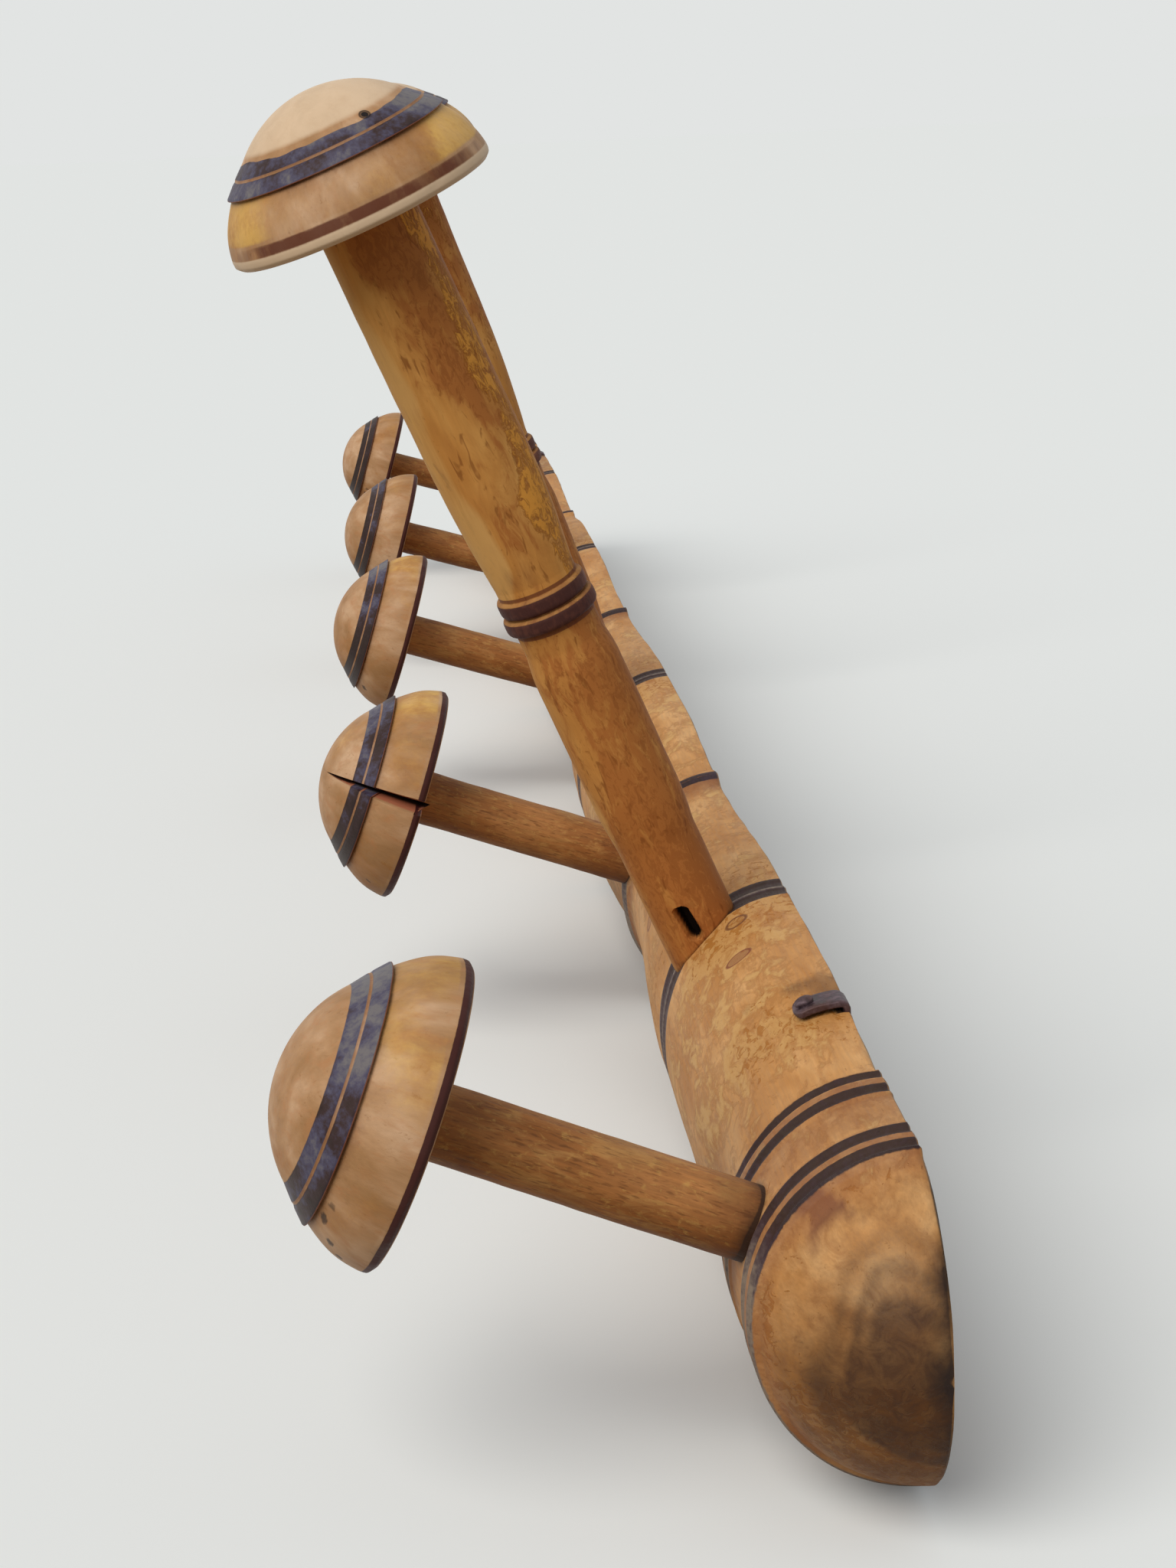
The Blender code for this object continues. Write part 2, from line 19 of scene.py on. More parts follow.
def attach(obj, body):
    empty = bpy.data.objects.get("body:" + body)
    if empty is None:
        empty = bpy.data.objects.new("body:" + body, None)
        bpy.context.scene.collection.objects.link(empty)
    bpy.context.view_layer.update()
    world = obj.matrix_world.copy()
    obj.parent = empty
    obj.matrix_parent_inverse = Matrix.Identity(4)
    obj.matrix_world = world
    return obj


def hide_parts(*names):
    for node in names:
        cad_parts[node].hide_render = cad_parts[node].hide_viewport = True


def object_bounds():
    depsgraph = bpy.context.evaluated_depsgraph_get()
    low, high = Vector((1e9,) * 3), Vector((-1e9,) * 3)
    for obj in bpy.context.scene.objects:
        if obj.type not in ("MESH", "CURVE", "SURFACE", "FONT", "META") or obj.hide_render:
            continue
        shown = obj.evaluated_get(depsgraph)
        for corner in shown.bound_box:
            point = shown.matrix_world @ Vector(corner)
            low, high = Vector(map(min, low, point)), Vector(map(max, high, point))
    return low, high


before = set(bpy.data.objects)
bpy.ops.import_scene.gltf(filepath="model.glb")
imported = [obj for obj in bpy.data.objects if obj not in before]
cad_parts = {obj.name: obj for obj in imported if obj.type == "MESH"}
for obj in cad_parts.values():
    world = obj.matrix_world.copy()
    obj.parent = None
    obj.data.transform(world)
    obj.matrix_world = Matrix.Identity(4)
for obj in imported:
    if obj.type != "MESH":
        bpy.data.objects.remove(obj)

Array = np.ndarray
Piece = bpy.types.Object
Point = tuple[float, float, float]
Socket = bpy.types.NodeSocket
Tree = bpy.types.NodeTree
CAD_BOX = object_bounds()
MM = 0.001
TAU = math.tau
BOTH_HALVES = (-0.5, 0.5)
LOG = logging.getLogger("coat_rack")

# Factors that scatter the corners of the noise lattice
LATTICE_FACTORS = np.array([374761393, 668265263, 1442695041])
SEED_FACTOR = 1274126177
MIX_FACTOR = 1103515245
LOW_BITS = 0x7FFFFFFF

# Depth of the fine wear that every turned surface has, and the sharpest edge that is shaded smooth
FINE_WEAR = 0.05 * MM
SMOOTH_TO = math.radians(50)


class Slot(Enum):
    """Material slots of the record."""

    RAIL = "rail_wood"
    PEG = "peg_wood"
    ARM = "arm_wood"
    KNOB = "knob_wood"
    IRON = "iron"


class Side(Enum):
    """Ends of the rail: the near one in the main view is the right one."""

    RIGHT = 1
    LEFT = -1


class Mask(Enum):
    """Masks that a wooden vertex carries, each from 0 to 1."""

    SCORCH = "scorch"
    # wear; on the knobs mostly a painted sheen, with lighter tones on the upper side
    WORN = "worn"
    # stain; on the knobs also the painted shadow that the step casts on the skirt
    STAIN = "stain"
    # dirt and dark joints, and painted shade under the knobs, under their steps, in cracks and in the nails'
    # slots
    DIRT = "dirt"
    FLAKE = "flake"
    # golden varnish; on the knobs also painted light on the upper side and warm painted shade on the lower
    GOLD = "gold"
    RIM = "rim"
    # rubbed wood; on the arms also painted highlights on the rolls' lips and painted light in the pale front
    # strip
    PALE = "pale"
    RAW = "raw"
    # dark heart and old stain; also painted shade on the rail's domed undersides and painted light on a knob
    # crack's lower wall
    HEART = "heart"


def linear(colour: str) -> tuple[float, float, float, float]:
    """Turn an sRGB hex colour into linear RGBA.

    Args:
        colour: Hex colour such as "#C8945A".

    Returns:
        Linear red, green and blue, and an alpha of 1.
    """
    parts = [int(colour[k:k + 2], 16) / 255 for k in (1, 3, 5)]
    return (*[p / 12.92 if p <= 0.04045 else ((p + 0.055) / 1.055) ** 2.4 for p in parts], 1.0)


def ease(t: Array) -> Array:
    """Smooth step: 0 below 0, 1 above 1, a cubic between."""
    t = np.clip(t, 0.0, 1.0)
    return t * t * (3 - 2 * t)


def stripe(x: Array, centre: float, half: float, soft: float = 0.5 * MM) -> Array:
    """Flat-topped stripe: 1 within half of the centre, easing to 0 over the soft width."""
    return ease((half - np.abs(x - centre)) / soft + 0.5)


def from_to(x: Array, low: Array, high: Array, soft: float) -> Array:
    """Stripe between two edges, easing to 0 over the soft width."""
    return stripe(x, (low + high) / 2, (high - low) / 2, soft)


def groove(x: Array, centre: float, half: float, steep: float) -> Array:
    """Turned groove: 1 in its middle, easing to 0 at its edges, with walls as steep as the factor says."""
    return ease(steep * (1 - np.abs(x - centre) / half))


def bell(x: Array, centre: float, width: float) -> Array:
    """Bell curve: 1 at the centre, 1/e at one width from it."""
    return np.exp(-((x - centre) / width) ** 2)


def fade(away: Array, length: float) -> Array:
    """Exponential fade: 1 up to zero, 1/e at one length beyond it."""
    return np.exp(-np.maximum(away, 0) / length)


def beneath(z: Array, level: tuple[float, float]) -> Array:
    """Share that eases from 0 at a level to 1 below it; the level is its place and the run of the ease."""
    return ease((level[0] - z) / level[1])


def most(*layers: Array) -> Array:
    """Largest of several masks at each point."""
    return functools.reduce(np.maximum, layers)


def turned_by(angle: Array, centre: float) -> Array:
    """Angle from a centre, wrapped to the range from minus half a turn to half a turn."""
    return (angle - centre + math.pi) % TAU - math.pi


def full_turn(count: int) -> Array:
    """One row of angles that go once round."""
    return np.linspace(0, TAU, count, endpoint=False)[None, :]


def run_length(*coordinates: Array) -> Array:
    """Distance along a line from its first point, by its coordinates."""
    steps = np.sqrt(sum(np.diff(c) ** 2 for c in coordinates))
    return np.concatenate([[0.0], np.cumsum(steps)])


def lattice_noise(points: Array, cell: float, seed: int) -> Array:
    """Smooth noise from -1 to 1: hashed values at the corners of a cubic lattice, blended by smooth steps.

    Args:
        points: Array whose last axis holds x, y and z.
        cell: Size of a lattice cell in metres.
        seed: Number that picks one noise among many.

    Returns:
        Array of noise values with the last axis gone.
    """
    scaled = points / cell
    base = np.floor(scaled).astype(np.int64)
    share = ease(scaled - base)
    total = np.zeros(points.shape[:-1])
    for corner in itertools.product((0, 1), repeat=3):
        mixed = ((base + np.array(corner)) * LATTICE_FACTORS).sum(axis=-1) + seed * SEED_FACTOR
        mixed = ((mixed ^ (mixed >> 13)) * MIX_FACTOR) & LOW_BITS
        value = (mixed ^ (mixed >> 15)) / 2.0 ** 30 - 1
        total += value * np.prod(np.where(np.array(corner) == 1, share, 1 - share), axis=-1)
    return total


@dataclass(frozen=True)
class Wear:
    """Unevenness of a turned surface: broad noise of a given depth and cell, plus fine noise."""

    depth: float
    cell: float
    fine_cell: float
    seed: int

    def at(self, points: Array) -> Array:
        """Height of the surface above its ideal form."""
        fine = FINE_WEAR * lattice_noise(points, self.fine_cell, self.seed + 1)
        return self.depth * lattice_noise(points, self.cell, self.seed) + fine


def crowded(low: float, high: float, count: int, places: list[Point], steps: int = 20000) -> Array:
    """Samples between two ends that crowd together at given places.

    The density is 1 plus a bump of given weight and half width at each place; its running sum is inverted.

    Args:
        low: First sample.
        high: Last sample.
        count: Number of samples.
        places: Triples of centre, half width and weight.
        steps: Number of steps that the density is summed over.

    Returns:
        Rising array of samples.
    """
    fine = np.linspace(low, high, steps + 1)
    density = 1 + sum(weight * stripe(fine, centre, half, half / 2) for centre, half, weight in places)
    total = np.concatenate([[0.0], np.cumsum((density[1:] + density[:-1]) / 2)])
    return np.interp(np.linspace(0.0, total[-1], count), total, fine)


def with_poles(grid: Array) -> Array:
    """Points or values of a grid in one list, then the middles of its first and its last row."""
    return np.concatenate([grid.reshape(-1, grid.shape[-1]), grid[[0, -1]].mean(axis=1)]).astype(np.float32)


def make_piece(name: str, node: str, finish: "Finish", rings: Array, grain: Array | None = None,
               masks: dict[Mask, Array] | None = None) -> Piece:
    """Build a closed mesh from rings of points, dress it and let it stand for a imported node.

    Neighbouring rings are joined by four-sided faces, and the first and the last close in a fan round a pole.

    Args:
        name: Name of the piece.
        node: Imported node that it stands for.
        finish: Material of the piece.
        rings: Points as rows, columns and coordinates; each row is a closed loop.
        grain: Place of each point in the grain, the third coordinate along the fibres.
        masks: Mask values for each row and column.

    Returns:
        The new object, linked to the scene.
    """
    rows, columns = rings.shape[:2]
    start = np.arange(rows - 1)[:, None] * columns
    column = np.arange(columns)[None, :]
    after = (column + 1) % columns
    below = start + columns
    quads = np.stack([start + column, start + after, below + after, below + column], axis=-1)
    last = (rows - 1) * columns
    first_fan = np.stack([np.full(columns, rows * columns), after[0], column[0]], axis=-1)
    last_fan = np.stack([np.full(columns, rows * columns + 1), last + column[0], last + after[0]], axis=-1)
    faces = quads.reshape(-1, 4).tolist() + first_fan.tolist() + last_fan.tolist()
    mesh = bpy.data.meshes.new(name)
    mesh.from_pydata(with_poles(rings).tolist(), [], faces)
    if grain is not None:
        layer = mesh.attributes.new("grain", "FLOAT_VECTOR", "POINT")
        layer.data.foreach_set("vector", with_poles(grain).ravel())
    for mask, value in (masks or {}).items():
        layer = mesh.attributes.new(mask.value, "FLOAT", "POINT")
        value = np.clip(np.broadcast_to(value, (rows, columns)), 0.0, 1.0)
        layer.data.foreach_set("value", with_poles(value[..., None]).ravel())
    mesh.shade_smooth()
    mesh.set_sharp_from_angle(angle=SMOOTH_TO)
    piece = bpy.data.objects.new(name, mesh)
    bpy.context.scene.collection.objects.link(piece)
    finish.dress(piece)
    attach(piece, "root")
    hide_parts(node)
    return piece


def feed(tree: Tree, node: bpy.types.Node, inputs: dict[str | int, object]) -> None:
    """Link the sockets and set the plain values among a node's inputs, by the input's name or number."""
    for key, value in inputs.items():
        if isinstance(value, Socket):
            tree.links.new(value, node.inputs[key])
        else:
            node.inputs[key].default_value = value


def add_node(tree: Tree, kind: str, inputs: dict[str | int, object] | None = None,
             **settings: object) -> bpy.types.Node:
    """Add one node, set its properties, and link or set its inputs.

    Args:
        tree: Node tree to add to.
        kind: Blender's name of the node type.
        inputs: Values or output sockets by the input's name or number.
        settings: Properties of the node.

    Returns:
        The new node.
    """
    node = tree.nodes.new(kind)
    for key, value in settings.items():
        setattr(node, key, value)
    feed(tree, node, inputs or {})
    return node


@dataclass(frozen=True)
class Finish:
    """Material that is made once and put on any number of pieces."""

    name: str
    slot: Slot

    def paint(self, tree: Tree) -> dict[str, object]:
        """Add the finish's nodes and give the inputs of its shader."""
        raise NotImplementedError

    def material(self) -> bpy.types.Material:
        """Find or make the finish's material.

        Returns:
            The node material.
        """
        made = bpy.data.materials.get(self.name)
        if made is None:
            made = bpy.data.materials.new(self.name)
            made.use_nodes = True
            tree = made.node_tree
            feed(tree, tree.nodes["Principled BSDF"], self.paint(tree))
        return made

    def dress(self, piece: Piece) -> None:
        """Put the finish on a piece."""
        piece.data.materials.clear()
        piece.data.materials.append(self.material())

    def blend_tones(self, tree: Tree, value: Socket, tones: tuple[str, ...], low: float,
                    high: float) -> Socket:
        """Spread tones evenly between two values of a noise.

        Args:
            tree: Node tree to add to.
            value: Noise to read.
            tones: Hex colours from low to high.
            low: Value of the first tone.
            high: Value of the last tone.

        Returns:
            Colour output.
        """
        ramp = add_node(tree, "ShaderNodeValToRGB", {"Fac": value})
        stops = ramp.color_ramp.elements
        while len(stops) < len(tones):
            stops.new(0.5)
        for index, tone in enumerate(tones):
            stops[index].position = low + (high - low) * index / (len(tones) - 1)
            stops[index].color = linear(tone)
        return ramp.outputs["Color"]


@dataclass(frozen=True)
class Pattern:
    """Noise stretched along the grain, by the real size of its spots in millimetres."""

    width: float
    length: float
    detail: float = 2.0
    roughness: float = 0.5
    distortion: float = 0.0

    def noise(self, tree: Tree, grain: Socket) -> Socket:
        """Add the noise, scaled so that one cell is as wide and as long as a spot.

        Args:
            tree: Node tree to add to.
            grain: Place in the grain.

        Returns:
            Noise from 0 to 1.
        """
        across, along = 1 / (self.width * MM), 1 / (self.length * MM)
        place = add_node(tree, "ShaderNodeMapping", {"Vector": grain, "Scale": (across, across, along)})
        return add_node(tree, "ShaderNodeTexNoise", {
            "Vector": place.outputs["Vector"], "Scale": 1.0, "Detail": self.detail,
            "Roughness": self.roughness, "Distortion": self.distortion}).outputs[0]


# Patterns of beech, by the real size of what they draw in millimetres
BEECH = {"drift": Pattern(9.0, 30.0, 3.0, 0.55, 0.4), "fibre": Pattern(0.55, 9.0, 3.0, 0.55),
         "pore": Pattern(0.40, 2.2, 1.0, 0.5), "patch": Pattern(3.4, 10.0, 5.0, 0.66, 0.7),
         "flake": Pattern(4.6, 8.0, 6.0, 0.66, 0.5), "crackle": Pattern(1.5, 3.0, 5.0, 0.7, 1.2),
         "crumb": Pattern(1.1, 2.0, 5.0, 0.7, 0.6), "dash": Pattern(1.5, 5.0, 2.0, 0.6, 0.6),
         "scab": Pattern(2.0, 3.0, 4.0, 0.68, 0.9), "ragged": Pattern(1.1, 1.6, 3.0, 0.6)}

# Spans of a noise: nearly all of it, the drift of tone, and the shade of a coat with several tones
NOISE_SPAN = {"From Min": 0.3, "From Max": 0.7}
DRIFT_SPAN = (0.34, 0.66)
SHADE_SPAN = (0.25, 0.75)


@dataclass(frozen=True)
class Coat:
    """One layer of colour, whose cover runs from 0 to strength as a sum goes from low to high.

    The sum is the mask plus ragged times the noise counted from its middle. Relief is in millimetres,
    and gloss is the coat's own roughness where it has one.
    """

    tones: tuple[str, ...]
    pattern: str
    low: float
    high: float
    strength: float = 1.0
    ragged: float = 1.0
    mask: Mask | None = None
    relief: float = 0.0
    gloss: float | None = None


@dataclass(frozen=True)
class Spot:
    """Mark on the wood, longer along the grain by its stretch: a dark outline around a fill."""

    centre: Point
    radius: float
    line: float
    colour: str
    fill: float
    stretch: float = 1.0
    outline: float = 0.85


@dataclass(frozen=True)
class WornBeech(Finish):
    """Lathe-turned beech under an old varnish: satin, warm, with short dark pores along the grain.

    The eye gets a broad drift of tone, fine fibres, pores, ragged patches, varnish flakes and scorched rings.
    """

    tones: tuple[str, str, str]
    coats: tuple[Coat, ...]
    roughness: tuple[float, float]
    specular: float
    fibre_depth: float = 0.10
    fibre_relief: float = 0.05
    spots: tuple[Spot, ...] = ()

    def paint(self, tree: Tree) -> dict[str, object]:
        """Lay the tones, the fibres, the coats and the spots over each other.

        Args:
            tree: Node tree to add to.

        Returns:
            Inputs of the shader.
        """
        grain = add_node(tree, "ShaderNodeAttribute", attribute_name="grain").outputs["Vector"]
        noises = {key: pattern.noise(tree, grain) for key, pattern in BEECH.items()}
        colour = self.blend_tones(tree, noises["drift"], self.tones, *DRIFT_SPAN)
        fibre = {"Value": noises["fibre"], **NOISE_SPAN}
        shade = add_node(tree, "ShaderNodeMapRange", {
            **fibre, "To Min": 1 - self.fibre_depth, "To Max": 1 + self.fibre_depth}).outputs[0]
        colour = add_node(tree, "ShaderNodeHueSaturation", {"Value": shade, "Color": colour}).outputs[0]
        height = add_node(tree, "ShaderNodeMath", {0: noises["fibre"], 1: self.fibre_relief},
                          operation="MULTIPLY").outputs[0]
        rough = add_node(tree, "ShaderNodeMapRange", {
            **fibre, "To Min": self.roughness[0], "To Max": self.roughness[1]}).outputs[0]
        for coat in self.coats:
            colour, height, rough = self.lay_coat(tree, coat, noises, (colour, height, rough))
        for spot in self.spots:
            colour = self.lay_spot(tree, spot, grain, colour)
        relief = add_node(tree, "ShaderNodeBump", {
            "Height": height, "Distance": MM, "Strength": 1.0}).outputs[0]
        return {"Base Color": colour, "Roughness": rough, "Normal": relief,
                "Specular IOR Level": self.specular}

    def lay_coat(self, tree: Tree, coat: Coat, noises: dict[str, Socket],
                 below: tuple[Socket, Socket, Socket]) -> tuple[Socket, Socket, Socket]:
        """Add one coat over the colour, its relief to the height and its gloss to the roughness.

        Args:
            tree: Node tree to add to.
            coat: Layer to add.
            noises: Noise outputs by the name of their pattern.
            below: Colour, height in millimetres and roughness below.

        Returns:
            New colour, height and roughness.
        """
        colour, height, rough = below
        cover = add_node(tree, "ShaderNodeMath", {
            0: noises[coat.pattern], 1: coat.ragged, 2: -coat.ragged / 2},
            operation="MULTIPLY_ADD").outputs[0]
        if coat.mask is not None:
            mask = add_node(tree, "ShaderNodeAttribute", attribute_name=coat.mask.value).outputs["Fac"]
            cover = add_node(tree, "ShaderNodeMath", {0: cover, 1: mask}, operation="ADD").outputs[0]
        cover = add_node(tree, "ShaderNodeMapRange", {
            "Value": cover, "From Min": coat.low, "From Max": coat.high, "To Max": coat.strength}).outputs[0]
        over = linear(coat.tones[0])
        if len(coat.tones) > 1:
            # the tones follow the wear mask, which on the knobs is mostly painted sheen
            worn = add_node(tree, "ShaderNodeAttribute", attribute_name=Mask.WORN.value).outputs["Fac"]
            shade = add_node(tree, "ShaderNodeMath", {0: worn, 1: noises["ragged"]},
                             operation="ADD").outputs[0]
            shade = add_node(tree, "ShaderNodeMath", {0: shade, 1: 0.5}, operation="MULTIPLY").outputs[0]
            over = self.blend_tones(tree, shade, coat.tones, *SHADE_SPAN)
        colour = add_node(tree, "ShaderNodeMix", {0: cover, 6: colour, 7: over}, data_type="RGBA").outputs[2]
        if coat.relief:
            height = add_node(tree, "ShaderNodeMath", {0: cover, 1: coat.relief, 2: height},
                              operation="MULTIPLY_ADD").outputs[0]
        if coat.gloss is not None:
            rough = add_node(tree, "ShaderNodeMix", {0: cover, 2: rough, 3: coat.gloss}).outputs[0]
        return colour, height, rough

    def lay_spot(self, tree: Tree, spot: Spot, grain: Socket, colour: Socket) -> Socket:
        """Add one mark, such as a burnt mark or the painted shade of a worm hole: nearly full cover on its
        outline, part cover inside.

        Args:
            tree: Node tree to add to.
            spot: Mark to add.
            grain: Place in the grain.
            colour: Colour below.

        Returns:
            New colour.
        """
        away = add_node(tree, "ShaderNodeVectorMath", {0: grain, 1: spot.centre},
                        operation="SUBTRACT").outputs[0]
        away = add_node(tree, "ShaderNodeVectorMath", {0: away, 1: (1.0, 1.0, 1 / spot.stretch)},
                        operation="MULTIPLY").outputs[0]
        apart = add_node(tree, "ShaderNodeVectorMath", {0: away}, operation="LENGTH").outputs["Value"]
        off = add_node(tree, "ShaderNodeMath", {0: apart, 1: spot.radius}, operation="SUBTRACT").outputs[0]
        edge = add_node(tree, "ShaderNodeMath", {0: off}, operation="ABSOLUTE").outputs[0]
        ring = add_node(tree, "ShaderNodeMapRange", {
            "Value": edge, "From Min": spot.line / 3, "From Max": spot.line, "To Min": spot.outline,
            "To Max": 0.0}).outputs[0]
        inside = add_node(tree, "ShaderNodeMapRange", {
            "Value": off, "From Min": -spot.line, "From Max": 0.0, "To Min": spot.fill,
            "To Max": 0.0}).outputs[0]
        cover = add_node(tree, "ShaderNodeMath", {0: ring, 1: inside}, operation="MAXIMUM").outputs[0]
        return add_node(tree, "ShaderNodeMix", {0: cover, 6: colour, 7: linear(spot.colour)},
                        data_type="RGBA").outputs[2]


@dataclass(frozen=True)
class ForgedIron(Finish):
    """Hand-forged iron strip under a dark oxide skin: dull, purple-grey, with patches of brown rust.

    The width and the depth of a pit are in millimetres.
    """

    name: str = "forged_iron"
    slot: Slot = Slot.IRON
    skin: tuple[str, str, str] = ("#33262A", "#54434A", "#74636A")
    skin_span: tuple[float, float] = (0.32, 0.68)
    rust: str = "#4A2A1C"
    rust_span: tuple[float, float] = (0.52, 0.68)
    rust_cover: float = 0.7
    pit: float = 1.4
    pit_depth: float = 0.25
    roughness: tuple[float, float] = (0.42, 0.7)
    metallic: float = 0.45

    def paint(self, tree: Tree) -> dict[str, object]:
        """Lay patches of rust, four pits wide, over a skin that is darker in its pits.

        Args:
            tree: Node tree to add to.

        Returns:
            Inputs of the shader.
        """
        place = add_node(tree, "ShaderNodeTexCoord").outputs["Object"]
        scale = 1 / (self.pit * MM)
        pits = add_node(tree, "ShaderNodeTexNoise", {
            "Vector": place, "Scale": scale, "Detail": 4.0}).outputs[0]
        broad = add_node(tree, "ShaderNodeTexNoise", {
            "Vector": place, "Scale": scale / 4, "Detail": 2.0}).outputs[0]
        rusty = add_node(tree, "ShaderNodeMapRange", {
            "Value": broad, "From Min": self.rust_span[0], "From Max": self.rust_span[1],
            "To Max": self.rust_cover}).outputs[0]
        skin = self.blend_tones(tree, pits, self.skin, *self.skin_span)
        colour = add_node(tree, "ShaderNodeMix", {0: rusty, 6: skin, 7: linear(self.rust)},
                          data_type="RGBA").outputs[2]
        rough = add_node(tree, "ShaderNodeMapRange", {
            "Value": pits, **NOISE_SPAN, "To Min": self.roughness[0], "To Max": self.roughness[1]}).outputs[0]
        relief = add_node(tree, "ShaderNodeBump", {
            "Height": pits, "Distance": self.pit_depth * MM, "Strength": 1.0}).outputs[0]
        return {"Base Color": colour, "Roughness": rough, "Normal": relief, "Metallic": self.metallic}


@dataclass(frozen=True)
class Axis:
    """Place of a turning: origin and unit vectors as rows, z along the axis, x nearest to the rail's X."""

    origin: Array
    turn: Array

    @classmethod
    def along(cls, origin: Point, direction: Point) -> "Axis":
        """Make the frame of an axis from a point on it and its direction."""
        z = np.array(direction) / np.linalg.norm(direction)
        x = np.array([1.0, 0.0, 0.0]) - z[0] * z
        x /= np.linalg.norm(x)
        return cls(np.array(origin), np.stack([x, np.cross(z, x), z]))

    def place(self, local: Array) -> Array:
        """World points of points in the turning's own frame."""
        return self.origin + local @ self.turn

    def moved(self, distance: float) -> "Axis":
        """The same frame, moved along its axis."""
        return Axis(self.origin + distance * self.turn[2], self.turn)


def around(radius: Array, angle: Array, height: Array) -> Array:
    """Points on a turning: cosine and sine of the angle times the radius, and the height along the axis."""
    radius, angle, height = np.broadcast_arrays(radius, angle, height)
    return np.stack([radius * np.cos(angle), radius * np.sin(angle), height], axis=-1)


@dataclass(frozen=True)
class StrapSizes:
    """Sizes of an iron strap: strip, drop down the back, wrap over the top, hanging eye and nails.

    The wraps are angles in degrees.
    """

    width: float = 0.0066
    thickness: float = 0.0014
    clearance: float = 0.0003
    drop: float = 0.042
    wrap: float = 22.0
    bend: float = 0.0011
    eye: float = 0.0023
    eye_drop: float = 0.016
    eye_depth: float = 0.0019
    nail_wrap: float = 16.8
    nail_drop: float = 0.034
    shank: float = 0.0009
    head: float = 0.0017
    head_height: float = 0.0013


@dataclass
class RailSurface:
    """Points on the rail and what its masks need; the angle runs from the top edge over the front."""

    points: Array
    angle: Array
    round_face: Array

    def __post_init__(self) -> None:
        """Work out places along the rail, distances from its axis and three noises, from broad to fine."""
        self.x = self.points[..., 0]
        self.a = np.abs(self.x)
        self.from_axis = np.hypot(self.points[..., 1], self.points[..., 2])
        self.broad, self.drift, self.fine = (
            lattice_noise(self.points, cell * MM, seed) for cell, seed in ((24, 14), (11, 8), (2.6, 16)))

    def blot(self, apart: Array, size: float, soft: float) -> Array:
        """Ragged blot: 1 where the distance, in shares of the blot, is well under its size."""
        return ease((size - apart + 0.7 * self.fine + 0.3 * self.drift) / soft)


